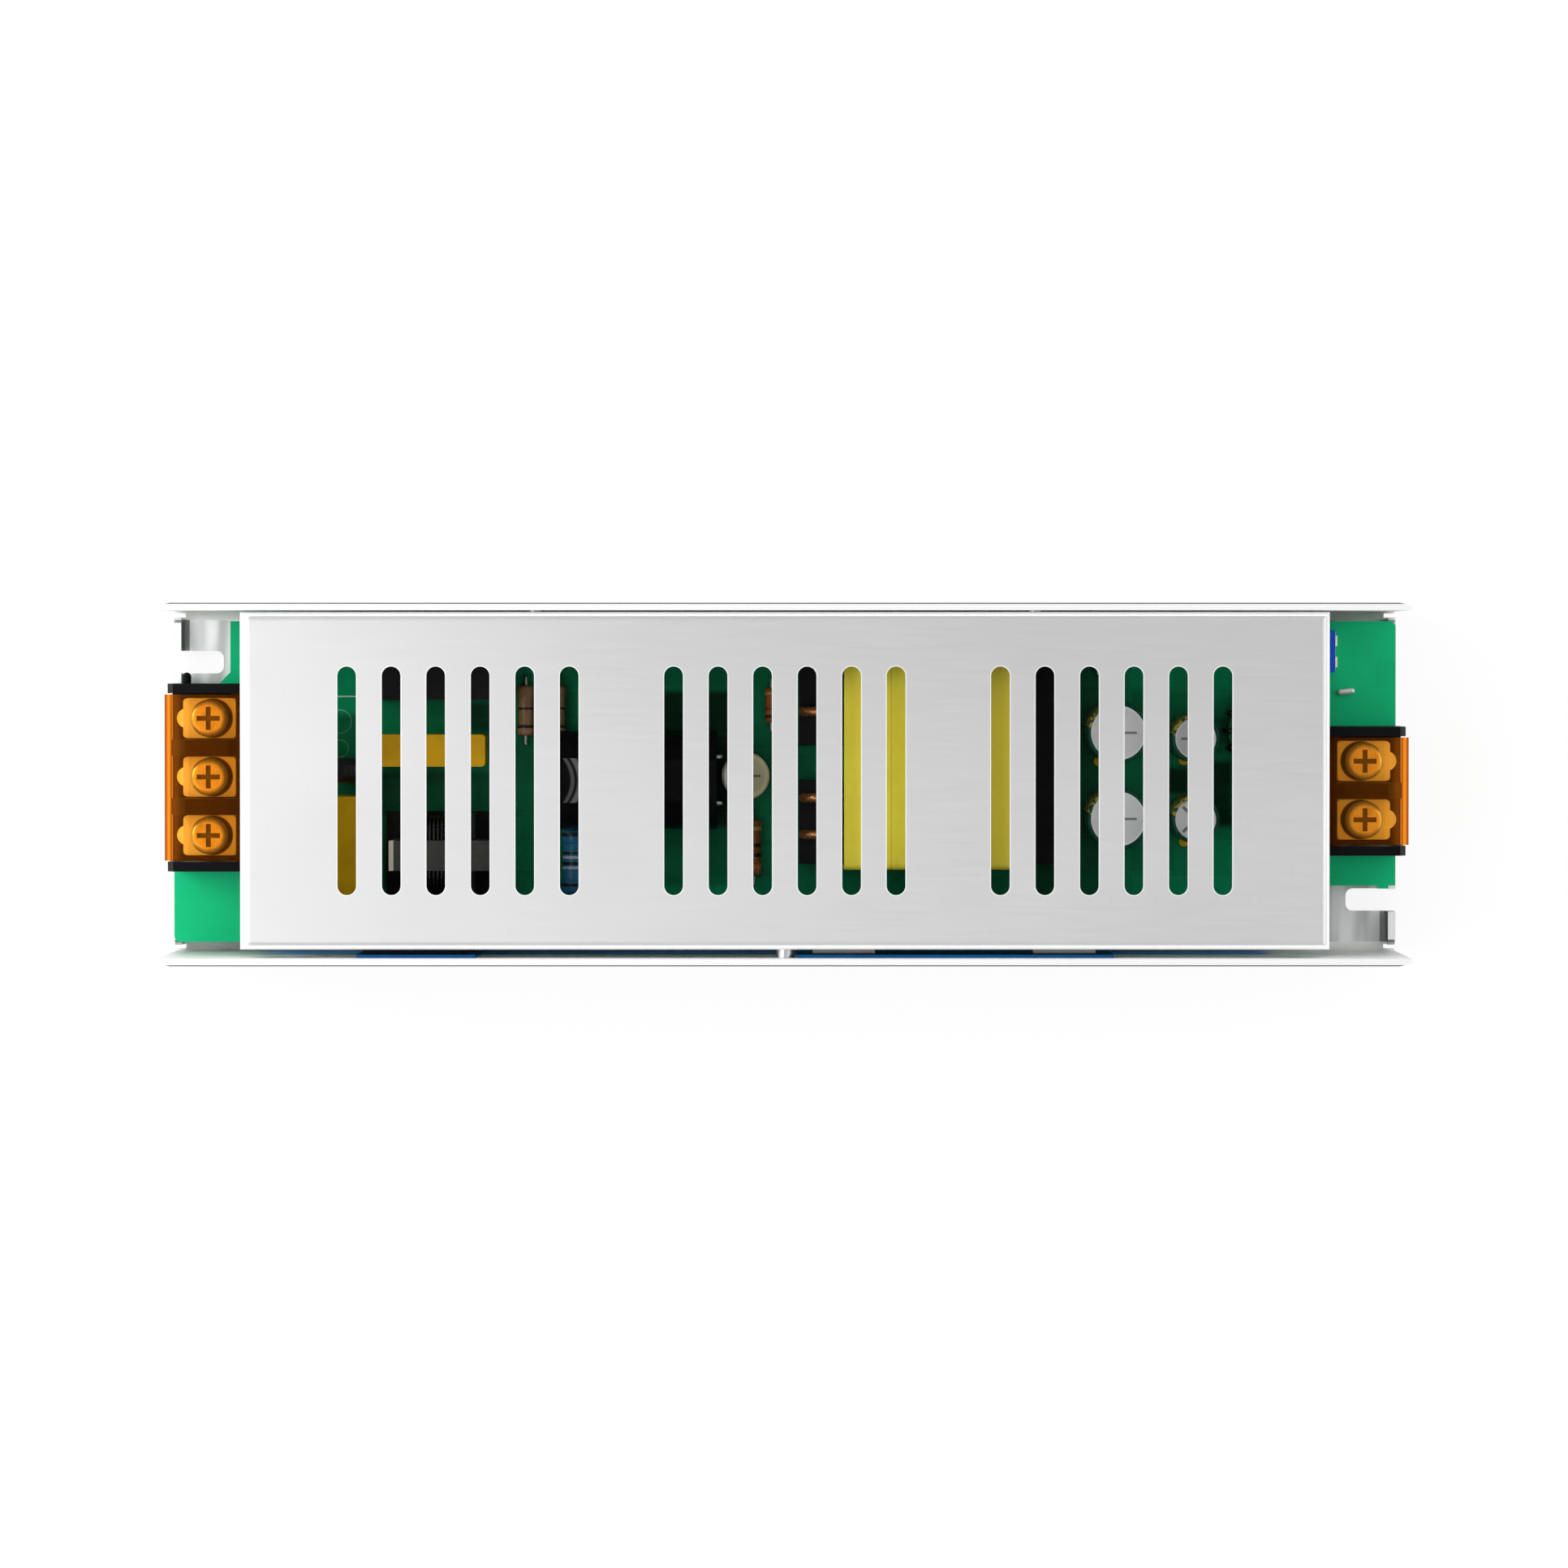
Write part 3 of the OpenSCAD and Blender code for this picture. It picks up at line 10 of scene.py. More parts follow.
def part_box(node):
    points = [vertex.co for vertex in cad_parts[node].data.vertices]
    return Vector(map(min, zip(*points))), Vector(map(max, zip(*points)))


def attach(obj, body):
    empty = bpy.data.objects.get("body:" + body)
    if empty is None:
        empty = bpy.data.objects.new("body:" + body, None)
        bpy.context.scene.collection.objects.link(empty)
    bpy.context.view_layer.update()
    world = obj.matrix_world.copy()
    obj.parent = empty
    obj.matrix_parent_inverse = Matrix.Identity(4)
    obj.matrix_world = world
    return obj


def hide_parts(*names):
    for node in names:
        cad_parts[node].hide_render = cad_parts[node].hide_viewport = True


bl_info = {
    "name": "LED power supply",
    "version": (1, 0, 0),
    "blender": (4, 5, 0),
    "location": "3D View > Sidebar > Supply",
    "description": "Dresses a slim LED power supply with sheet metal, board, terminals and wound parts",
    "category": "Object",
}

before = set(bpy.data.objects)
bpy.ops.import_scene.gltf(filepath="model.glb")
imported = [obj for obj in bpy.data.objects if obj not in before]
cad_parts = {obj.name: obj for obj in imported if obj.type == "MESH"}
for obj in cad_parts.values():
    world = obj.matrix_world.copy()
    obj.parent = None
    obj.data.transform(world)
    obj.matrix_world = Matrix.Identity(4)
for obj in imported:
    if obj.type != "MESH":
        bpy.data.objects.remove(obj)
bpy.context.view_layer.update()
MM = 0.001
WAYS = ("line", "neutral", "earth", "positive", "negative")

# Sheet metal: sizes of the channel and the cover that their finishes follow
SHEET = 1.2 * MM
SKIN = 0.05 * MM  # how near to a face counts as on it
RIM_DEPTH = 0.3 * MM
RIM_LINE = 0.22 * MM
FOLD_REACH = 2.6 * MM
FOLD_TOP = 3.0 * MM
LIP_TOP = 5.0 * MM
LIP_FOOT = 2.3 * MM
LIP_EDGE = 0.15 * MM
VENT_GROUP_PITCH = 52.15 * MM
VENT_PITCH = 7.1 * MM
VENTS_IN_GROUP = 6
VENT_HALF = 16.75 * MM
VENT_RADIUS = 1.5 * MM
VENT_RIM = 0.15 * MM
COVER_FOLD = (0.9 * MM, 1.9 * MM)
COVER_END, COVER_SIDE = 0.45 * MM, 0.7 * MM
# Painted shade: the cover is darker towards +Y and away from the input end
DIM_ACROSS = (-12.0 * MM, 24.0 * MM)
DIM_ALONG = (-84.0 * MM, -10.0 * MM)

# Blue film on the inside of the -Y wall: its top, and where it starts and stops along x
FILM_TOP = 21.0 * MM
FILM_START = (-90.0 * MM, -80.0 * MM)
FILM_STOP = (77.0 * MM, 80.0 * MM)
# Soft edge of the painted highlight on the inner walls above the film
FILM_FADE = 6.0 * MM

# Bare copper pads on the board: places in mm, and their radius
BARE_PADS = ((51.3, 3.3), (65.2, 3.5), (65.2, -9.8))
PAD_RADIUS = 0.8 * MM
# Painted shade on fields of the board: low and high corner in mm, share of the mask's tone
SHADED_FIELDS = (
    ((-74.0, -5.0), (-69.3, 11.0), 0.42),
    ((-66.5, -5.0), (-47.3, 1.7), 0.45),
    ((-52.5, 8.3), (-47.3, 13.0), 0.32),
    ((-44.6, -5.6), (-40.3, 5.7), 0.66),
    ((-20.6, 7.7), (-8.4, 14.8), 0.16),
    ((-13.0, -7.6), (-8.4, 8.0), 0.12),
    ((-20.6, -17.0), (-8.4, -7.6), 0.60),
    ((39.5, -20.0), (45.6, -11.5), 0.40),
    ((47.7, -20.0), (51.8, 20.0), 0.50),
    ((62.3, -2.1), (66.4, 2.4), 0.12),
    ((69.4, -7.4), (73.2, 3.4), 0.12),
)
FIELD_SOFT = 0.8 * MM

# Print at the fuse holder, in mm: shift and margins of the outline, half its line's width,
# and fainter rings as place from the holder's low corner, radius and half the line's width
PRINT_SHIFT, PRINT_MARGINS, PRINT_HALF = -4.0, (5.0, -0.5), 0.10
PRINT_RINGS = (((-5.2, -3.6), 1.9, 0.09), ((-5.2, -8.0), 1.4, 0.08))

# Where leads pass through the board: a pitch apart along x, or set in from the piece's ends
LEAD_PITCH = {"inrush_thermistor": 5.0 * MM, "safety_capacitor": 5.0 * MM, "startup_capacitor": 3.5 * MM}
LEADS_ALONG_Y = ("line_capacitor", "snubber_resistor", "damping_resistor", "sense_resistor")
LEADS_ALONG_X = ("filter_capacitor", "fuse_holder")
BOBBIN_ROWS = {"transformer_bobbin": 4, "choke_bobbin": 2}
INSET_Y, INSET_X, INSET_BOBBIN = 1.2 * MM, 1.4 * MM, 2.4 * MM
JOINT_TIP = 0.3 * MM

# Resistors: finish, lacquer, half its length, and rings as place along y, width and colour, in mm
PALE_RING, GOLD_RING, DARK_RING = (0.55, 0.66, 0.70), (0.5, 0.33, 0.06), (0.03, 0.02, 0.015)
RESISTORS = {
    "snubber_resistor": ("blue_lacquer", (0.03, 0.23, 0.42), 5.25, (
        (-3.8, 0.5, DARK_RING), (-1.0, 0.45, PALE_RING), (-0.3, 0.5, DARK_RING),
        (0.7, 0.45, PALE_RING), (1.4, 0.4, DARK_RING), (4.4, 0.6, DARK_RING))),
    "bleeder_resistors": ("tan_lacquer", (0.40, 0.22, 0.10), 4.05, (
        (-3.4, 0.5, (0.50, 0.24, 0.12)), (-2.6, 0.45, DARK_RING), (0.35, 0.4, DARK_RING))),
    "damping_resistor": ("orange_lacquer", (0.48, 0.13, 0.015), 2.75, (
        (-1.9, 0.5, DARK_RING), (-0.6, 0.4, (0.35, 0.03, 0.01)), (1.9, 0.5, GOLD_RING))),
    "sense_resistor": ("brown_lacquer", (0.30, 0.12, 0.03), 4.6, (
        (-3.0, 0.7, (0.5, 0.18, 0.02)), (-1.2, 0.6, DARK_RING), (0.4, 0.6, DARK_RING),
        (3.1, 0.7, GOLD_RING))),
}

# Capacitor cans: width of the sleeve's turned edge, depths of the bare top and of its scored cross
CAN_LIP = 0.62 * MM
BARE_DEPTH = 0.7 * MM
SCORE_DEPTH = 0.32 * MM
# Bulk capacitor: depth of its bare end, length of its leads, and painted highlights along the sleeve's creases
# near that end
BULK_END, BULK_LEADS = 0.6 * MM, 1.0 * MM
SHEEN_PLACE, SHEEN_BEND, SHEEN_HALF, SHEEN_STEP = 4.6 * MM, 0.10 / MM, 3.6 * MM, 1.3 * MM
WIDE_SHEEN, THIN_SHEEN = (0.2 * MM, 0.75 * MM), (0.1 * MM, 0.5 * MM)

# Power devices and chips: thickness and foot of the tab, top of the legs, half width of a chip
TAB_THICKNESS, TAB_FOOT, LEG_TOP = 1.31 * MM, 12.05 * MM, 2.84 * MM
CHIP_HALF = 3.205 * MM
# Trimmer's feet, and depth and height of the varnish on the line choke's end
TRIMMER_FEET = 0.62 * MM
DAB_DEPTH, DAB_HEIGHT = 0.75 * MM, 6.0 * MM
# Transformer's tape: laps as shares of its length, half a lap's line, and where painted shade starts to darken
# it
TAPE_LAPS, LAP_HALF, TAPE_FADE = (0.27, 0.5, 0.76), 0.12 * MM, 20.0 * MM

# Clamp plates: how far the painted shadow round the screw's head is moved to the cover, its soft edge, and the
# painted highlight on the front edge
SHADOW_SHIFT = 0.6 * MM
SHADOW_EDGE = (3.1 * MM, 3.35 * MM)
FRONT_EDGE = (3.2 * MM, 3.5 * MM)

# Depths of the bump in a finish
FINE, PLAIN, COARSE, CREASED = 0.02 * MM, 0.03 * MM, 0.04 * MM, 0.06 * MM
# Stands for the light that a clear flap spreads on the metal under it
FLAP_GLOW = 0.17
# Waves per metre, as an angle, of a screw's turning marks and a heat pad's weave
TURNING_MARKS, PAD_WEAVE = 21000.0, 5200.0

# Tones that several finishes share
BLACK_MOULDING = (0.013, 0.013, 0.014)
JET_MOULDING = (0.012, 0.012, 0.013)
TINNED = (0.68, 0.67, 0.65)

# Windings: corners of the turns, the ring's bore and the room round it, the gap in the line choke
CHOKE_CORNER, COIL_CORNER, RING_CORNER = 1.5 * MM, 2.4 * MM, 0.6 * MM
RING_BORE = 3.3 * MM
RING_ROOM = 1.1
COIL_GAP = 1.2 * MM

# Stage: half the floor, its drop below the part, the camera's frame in mm and its far limit
FLOOR_HALF = 6.0
FLOOR_DROP = 0.4 * MM
FRAME_WIDTH = 36
FAR_LIMIT = 20


def colour(name, text, default):
    return FloatVectorProperty(
        name=name, description=text, default=default, size=3, min=0, max=1, subtype="COLOR")


def length(name, text, default):
    return FloatProperty(name=name, description=text, default=default, unit="LENGTH", precision=5)


def level(name, text, default, unit="NONE"):
    return FloatProperty(name=name, description=text, default=default, min=0, unit=unit)


class SupplyColours(bpy.types.PropertyGroup):
    """Colours of the supply's finishes"""
    channel: colour("Channel", "Bright sheet of the folded channel", (0.87, 0.88, 0.89))
    cover: colour("Cover", "Satin sheet of the slotted cover", (0.69, 0.69, 0.695))
    board: colour("Board", "Solder mask on the circuit board", (0.002, 0.47, 0.185))
    board_edge: colour("Board edge", "Cut edge of the circuit board", (0.42, 0.46, 0.22))
    terminal: colour("Terminal", "Moulding of the terminal blocks", (0.004, 0.004, 0.0045))
    flap: colour("Flap", "Clear amber of the terminal flaps", (0.985, 0.72, 0.26))
    nickel: colour("Nickel", "Plating of contacts, clamps and terminal screws", (0.95, 0.91, 0.82))
    steel: colour("Steel", "Plating of the small screws and posts", (0.66, 0.67, 0.69))
    copper: colour("Copper", "Enamelled winding wire", (0.72, 0.27, 0.09))
    tape: colour("Tape", "Tape round the transformer", (0.96, 0.81, 0.064))
    line_film: colour("Line capacitor", "Box of the line capacitor", (0.80, 0.46, 0.001))
    filter_film: colour("Filter capacitor", "Box of the filter capacitor", (0.84, 0.46, 0.008))
    green_sleeve: colour("Green sleeve", "Sleeve of the upright capacitors", (0.008, 0.055, 0.035))
    gold_print: colour("Sleeve stripe", "Stripe on the capacitor sleeves", (0.42, 0.31, 0.05))
    can_top: colour("Can top", "Bare top of the capacitor cans", (0.66, 0.665, 0.67))
    heat_pad: colour("Heat pad", "Silicone between power devices and wall", (0.003, 0.065, 0.19))
    trimmer: colour("Trimmer", "Body of the trimmer", (0.008, 0.075, 0.52))
    cream: colour("Cream", "Cream mouldings and marks", (0.72, 0.68, 0.56))


class SupplySizes(bpy.types.PropertyGroup):
    """Sizes of the wound wire and the solder"""
    choke_wire: length("Choke wire", "Diameter of the line choke's wire", 0.55 * MM)
    ring_wire: length("Ring wire", "Diameter of the output choke's wire", 0.95 * MM)
    ring_turns: IntProperty(name="Ring turns", description="Turns round the output choke", default=14, min=6)
    coil_wire: length("Coil wire", "Diameter of the transformer's wire", 0.5 * MM)
    joint_radius: length("Joint radius", "Foot radius of a solder joint", 1.1 * MM)
    joint_height: length("Joint height", "Height of a solder joint", 0.9 * MM)


class StageSettings(bpy.types.PropertyGroup):
    """Camera, light and floor"""
    camera_height: length("Camera height", "Height of the camera above the floor", 1.250)
    camera_back: length("Camera offset", "Offset of the camera towards +Y", 0.020)
    aim_y: length("Aim", "Point on the floor that the camera looks at", -0.00053)
    aim_x: length("Sideways aim", "Sideways place of the camera", -0.00013)
    lens: level("Lens", "Focal length on a 36 mm frame", 174.6, "CAMERA")
    world: level("Sky", "Strength of the even light", 0.9)
    gloss: level("Sky gloss", "Reflected sky overhead", 0.60)
    side_gloss: level("Side gloss", "Reflected sky near the horizon", 1.0)
    key: level("Key lamp", "Power of the main lamp", 2.5, "POWER")
    fill: level("Fill lamp", "Power of the second lamp", 1.3, "POWER")
    left: level("Left lamp", "Power of the low lamp at the input end", 2.2, "POWER")
    right: level("Right lamp", "Power of the low lamp at the output end", 0.5, "POWER")


# Shader sums

class Value:
    """A shader socket that takes part in Python sums."""

    def __init__(self, tree, socket):
        self.tree = tree
        self.socket = socket

    def sum(self, operation, *values):
        node = self.tree.nodes.new("ShaderNodeMath")
        node.operation = operation
        for place, value in zip(node.inputs, values):
            join(self.tree, place, value)
        return Value(self.tree, node.outputs[0])

    def __add__(self, other):
        return self.sum("ADD", self, other)

    def __radd__(self, other):
        return self.sum("ADD", other, self)

    def __sub__(self, other):
        return self.sum("SUBTRACT", self, other)

    def __rsub__(self, other):
        return self.sum("SUBTRACT", other, self)

    def __mul__(self, other):
        return self.sum("MULTIPLY", self, other)

    def __rmul__(self, other):
        return self.sum("MULTIPLY", other, self)

    def __truediv__(self, other):
        return self.sum("DIVIDE", self, other)

    def __gt__(self, other):
        return self.sum("GREATER_THAN", self, other)

    def __lt__(self, other):
        return self.sum("LESS_THAN", self, other)

    def __abs__(self):
        return self.sum("ABSOLUTE", self)

    def least(self, other):
        return self.sum("MINIMUM", self, other)

    def most(self, other):
        return self.sum("MAXIMUM", self, other)

    def nearest(self, low, high):
        """The nearest whole number from low to high."""
        return self.sum("ROUND", self).most(low).least(high)

    def root(self):
        return self.sum("SQRT", self)

    def wave(self):
        return self.sum("SINE", self)


def join(tree, place, value):
    """Links a value to an input, or sets the input to a number or a colour."""
    if isinstance(value, Value):
        tree.links.new(value.socket, place)
    elif place.type == "RGBA" and len(value) == 3:
        place.default_value = (*value, 1.0)
    else:
        place.default_value = value


class Finish:
    """A material, or the sky, that is written as sums over its own coordinates."""

    def __init__(self, name, sky=False):
        self.owner = bpy.data.worlds.new(name) if sky else bpy.data.materials.new(name)
        self.owner.use_nodes = True
        self.tree = self.owner.node_tree
        self.tree.nodes.clear()
        self.output = self.tree.nodes.new("ShaderNodeOutputWorld" if sky else "ShaderNodeOutputMaterial")
        self.place = self.node("ShaderNodeTexCoord", out="Generated" if sky else "Object")

    def node(self, kind, settings=None, sockets=None, out=0):
        """Adds a node with its settings and its inputs' values or links, and gives one output."""
        node = self.tree.nodes.new(kind)
        for key, value in (settings or {}).items():
            setattr(node, key, value)
        for key, value in (sockets or {}).items():
            join(self.tree, node.inputs[key], value)
        return Value(self.tree, node.outputs[out])

    def parts(self, vector):
        """The x, y and z of a vector."""
        split = self.node("ShaderNodeSeparateXYZ", sockets={"Vector": vector}).socket.node
        return [Value(self.tree, output) for output in split.outputs]

    def axes(self):
        return self.parts(self.place)

    def up(self):
        """How far the surface faces upwards, from -1 to 1."""
        return self.parts(self.node("ShaderNodeTexCoord", out="Normal"))[2]

    def ray(self, kind):
        """1 for rays of a kind, such as Camera or Glossy."""
        return self.node("ShaderNodeLightPath", out=f"Is {kind} Ray")

    def reach(self, centre):
        """Distance from an upright axis."""
        x, y, _ = self.axes()
        return ((x - centre[0]) * (x - centre[0]) + (y - centre[1]) * (y - centre[1])).root()

    def field(self, low, high):
        """1 inside a rectangle on the board, 0 outside it, with a soft edge."""
        x, y, _ = self.axes()
        aside = abs(x - (low[0] + high[0]) / 2) - (high[0] - low[0]) / 2
        along = abs(y - (low[1] + high[1]) / 2) - (high[1] - low[1]) / 2
        return 1.0 - self.steps(aside.most(along), -FIELD_SOFT, FIELD_SOFT)

    def stretched(self, x, y, z):
        return self.node("ShaderNodeVectorMath", {"operation": "MULTIPLY"}, {0: self.place, 1: (x, y, z)})

    def noise(self, scale, detail=3.0, vector=None):
        sockets = {"Vector": vector or self.place, "Scale": scale, "Detail": detail}
        return self.node("ShaderNodeTexNoise", {}, sockets)

    def streaks(self, x, y, z, detail=3.0):
        """Noise with its own scale along each axis."""
        return self.noise(1.0, detail, self.stretched(x, y, z))

    def sheet_noise(self):
        """Rolled sheet: grain along the length, and faint clouds."""
        return self.streaks(90, 2600, 2600, 4.0), self.noise(28.0, 2.0)

    def scratches(self):
        return self.streaks(2200, 500, 1500)

    def mix(self, share, first, second, blend="MIX"):
        settings = {"data_type": "RGBA", "blend_type": blend}
        return self.node("ShaderNodeMix", settings, {0: share, 6: first, 7: second}, out=2)

    def steps(self, value, low, high, first=0.0, last=1.0):
        """A smooth change from first to last as value goes from low to high."""
        settings = {"interpolation_type": "SMOOTHSTEP"}
        sockets = {"Value": value, "From Min": low, "From Max": high, "To Min": first, "To Max": last}
        return self.node("ShaderNodeMapRange", settings, sockets)

    def mottled(self, tone, factor, noise, low, high):
        """A tone that turns darker or lighter by a factor as noise goes from low to high."""
        return self.mix(self.steps(noise, low, high), tone, shade(tone, factor))

    def surface(self, base, rough, metal=0.0, bump=None, depth=PLAIN, strength=0.3, shine=0.1, **more):
        """A principled surface, with further sockets such as coat_weight by name."""
        sockets = {"Base Color": base, "Roughness": rough, "Metallic": metal, "Specular IOR Level": shine}
        if bump is not None:
            heights = {"Height": bump, "Distance": depth, "Strength": strength}
            sockets["Normal"] = self.node("ShaderNodeBump", {}, heights)
        sockets.update({key.replace("_", " ").title(): value for key, value in more.items()})
        return self.node("ShaderNodeBsdfPrincipled", {}, sockets)

    def done(self, shader):
        join(self.tree, self.output.inputs["Surface"], shader)
        return self.owner


# Finishes

def grey(tone):
    return (tone, tone, tone)


def shade(tone, factor):
    """A darker or lighter tone."""
    return tuple(min(1.0, channel * factor) for channel in tone)


def middle(node):
    """The middle of a node's box."""
    return [(low + high) / 2 for low, high in zip(*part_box(node))]


def cover_metal(colours):
    """The cover's sheet: satin grain along the length, faint clouds, painted shade towards one corner, and
    painted highlights on the folds and round the slots.
    """
    low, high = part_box("top_cover")
    f = Finish("cover_sheet")
    x, y, _ = f.axes()
    tone = colours.cover
    grain, cloud = f.sheet_noise()
    marks = f.streaks(900, 240, 900, 2.0)
    base = f.mottled(tone, 0.955, cloud, 0.35, 0.7)
    base = f.mix(f.steps(marks, 0.68, 0.76) * 0.25, base, shade(tone, 0.9))
    across = y - middle("top_cover")[1]
    # Painted shade over the cover's corner towards +Y and away from the input end
    base = f.mix(f.steps(across, *DIM_ACROSS) * f.steps(x, *DIM_ALONG), base, shade(tone, 0.90))
    # Painted highlights: a thin rim round each slot, and the folds at the ends and sides, lighter and less
    # metallic
    group = (x / VENT_GROUP_PITCH).nearest(-1, 1)
    place = (x - group * VENT_GROUP_PITCH) / VENT_PITCH + (VENTS_IN_GROUP - 1) / 2
    aside = (place - place.nearest(0, VENTS_IN_GROUP - 1)) * VENT_PITCH
    beyond = (abs(across) - VENT_HALF).most(0.0)
    rim = (aside * aside + beyond * beyond).root() < VENT_RADIUS + VENT_RIM
    fold = 1.0 - f.steps(x, *(low[0] + edge for edge in COVER_FOLD))
    fold = fold.most(x > high[0] - COVER_END)
    fold = fold.most(abs(across) > (high[1] - low[1]) / 2 - COVER_SIDE)
    bright = fold.most(rim * 0.5)
    base = f.mix(bright, base, grey(0.93))
    rough = 0.36 + grain * 0.10 + cloud * 0.04
    return f.done(f.surface(base, rough, 1.0 - bright * 0.8, grain, FINE, 0.25))


def channel_metal(colours):
    """The channel's sheet: painted highlights on the rims, lips, inner folds and upper inner walls, painted
    shade on the inner and outer faces, at the lips' feet and along the rims' outer edges, and a blue film on
    the -Y wall.
    """
    end, side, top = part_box("base_channel")[1]
    tone = colours.channel
    f = Finish("channel_sheet")
    x, y, z = f.axes()
    grain, cloud = f.sheet_noise()
    inside = (abs(y) < side - SHEET + 2 * SKIN) * (abs(x) < end - 2 * SKIN)
    inside = inside * (z < top - RIM_DEPTH) * (z > SHEET / 2)
    wall = inside * (abs(y) > side - SHEET - 2 * SKIN)
    fold = inside * (abs(y) > side - FOLD_REACH) * (z < FOLD_TOP)
    base = f.mottled(tone, 0.955, cloud, 0.35, 0.7)
    # Painted shade: the inner faces are darker, with streaks along x; the walls are only a little darker
    streak = f.steps(f.streaks(310, 45, 45, 1.0), 0.38, 0.62)
    base = f.mix(inside, base, f.mix(streak, shade(tone, 0.62), shade(tone, 1.05)))
    base = f.mix(wall, base, shade(tone, 0.95))
    film = wall * (y < 0.0) * (z < FILM_TOP)
    film = film * f.steps(x, *FILM_START) * (1.0 - f.steps(x, *FILM_STOP))
    base = f.mix(film * 0.85, base, shade(colours.heat_pad, 5.5))
    # Painted shade at the foot of each end lip
    heel = inside * (abs(x) > end - LIP_FOOT) * (z < LIP_TOP - LIP_EDGE) * (abs(y) < side - FOLD_REACH)
    base = f.mix(heel * 0.75, base, shade(tone, 0.16))
    # Painted shade: the outer faces are darker than the rims
    outside = (abs(y) > side - SKIN).most(abs(x) > end - SKIN)
    base = f.mix(outside, base, shade(tone, 0.72))
    # Painted highlights on the lips' tops, the rims, the inner folds and the inner walls above the film
    lip = (z > LIP_TOP - LIP_EDGE) * (z < LIP_TOP + SKIN) * (abs(x) > end - SHEET - LIP_EDGE)
    rim = z > top - SKIN
    upper = wall * f.steps(z, FILM_TOP - FILM_FADE, FILM_TOP + FILM_FADE) * (1.0 - film)
    bright = rim.most(lip).most(fold).most(upper)
    base = f.mix(bright, base, grey(0.90))
    # Painted shade: a dark line along each rim's outer edge
    base = f.mix(rim * (abs(y) > side - RIM_LINE), base, grey(0.22))
    metal = 1.0 - inside * 0.45 - bright * 0.5
    rough = 0.22 + inside * 0.16 + grain * 0.08 + cloud * 0.04
    return f.done(f.surface(base, rough, metal, grain * (1.0 - inside * 0.8), FINE, 0.25))


def plated(name, tone, rough, metal=1.0):
    """Plated metal with fine scratches."""
    f = Finish(name)
    scratch = f.scratches()
    base = f.mottled(tone, 0.86, f.noise(420.0, 2.0), 0.4, 0.7)
    return f.done(f.surface(base, rough + scratch * 0.14, metal, scratch, strength=0.35))


def screw_plate(name, tone):
    """A terminal screw: turning marks, a painted shadow round the rim of its head, painted shade in the cross
    recess, and a faint glow that stands for the flap's light.
    """
    low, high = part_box(name)
    radius = (high[0] - low[0]) / 2
    f = Finish(name + "_plate")
    z = f.axes()[2]
    reach = f.reach(middle(name))
    recess = (reach < radius * 0.68) * (z < high[2] - 0.2 * MM)
    rim = f.steps(reach, radius * 0.80, radius * 0.97)
    scratch = f.scratches()
    base = f.mottled(tone, 0.8, f.noise(520.0, 2.0), 0.4, 0.7)
    # Painted shadow round the head's rim, and painted shade in the cross recess
    base = f.mix(rim * 0.75, base, shade(tone, 0.22))
    base = f.mix(recess, base, shade(tone, 0.16))
    marks = (reach * TURNING_MARKS).wave() * 0.12 + scratch
    return f.done(f.surface(
        base, 0.22 + scratch * 0.12, 0.5, marks, emission_color=base, emission_strength=FLAP_GLOW))


def clamp_plate(name, tone):
    """A clamp plate: a painted highlight on its front edge, a painted shadow round the screw's head on the
    cover's side, and a faint glow that stands for the flap's light.
    """
    f = Finish(name + "_plate")
    x = f.axes()[0]
    middle_x, middle_y, _ = middle(name)
    side = 1 if middle_x > 0 else -1
    # Painted shadow round the screw's head, reaching furthest on the cover's side, and a painted highlight on
    # the front edge
    shadow = 1.0 - f.steps(f.reach((middle_x - side * SHADOW_SHIFT, middle_y)), *SHADOW_EDGE)
    front = f.steps(x * side, *(side * middle_x + edge for edge in FRONT_EDGE))
    scratch = f.scratches()
    base = f.mix(f.noise(420.0, 2.0), tone, shade(tone, 0.8))
    base = f.mix(shadow, base, shade(tone, 0.04))
    base = f.mix(front * 0.8, base, (1.0, 0.97, 0.90))
    return f.done(f.surface(
        base, 0.26 + scratch * 0.14, 0.4 - shadow * 0.4, scratch,
        emission_color=base, emission_strength=FLAP_GLOW))


def moulded(name, tone, rough, speck=1500.0, coat=0.0, shine=0.1):
    """Moulded plastic: a fine matt texture with faint flow marks."""
    f = Finish(name)
    speckle = f.noise(speck, 4.0)
    flow = f.streaks(140, 260, 420)
    base = f.mottled(tone, 1.35, flow, 0.3, 0.75)
    rough = rough + speckle * 0.12 + flow * 0.05
    return f.done(f.surface(base, rough, bump=speckle, shine=shine, coat_weight=coat))


def lacquer(name, tone, half, rings, centre):
    """Lacquered resistor body that lies along y, with painted rings and tinned ends, the ends painted dark
    grey as shade.
    """
    f = Finish(name)
    along = f.axes()[1] - centre
    mottle = f.noise(1800.0)
    base = f.mottled(tone, 0.8, mottle, 0.3, 0.75)
    for place, width, ring in rings:
        base = f.mix(abs(along - place * MM) < width * MM / 2, base, ring)
    ends = abs(along) > half * MM
    # Painted shade: the tinned ends are darker than bare tin
    base = f.mix(ends, base, (0.40, 0.39, 0.37))
    return f.done(f.surface(base, 0.24 + mottle * 0.12, ends, mottle, FINE, coat_weight=0.35))


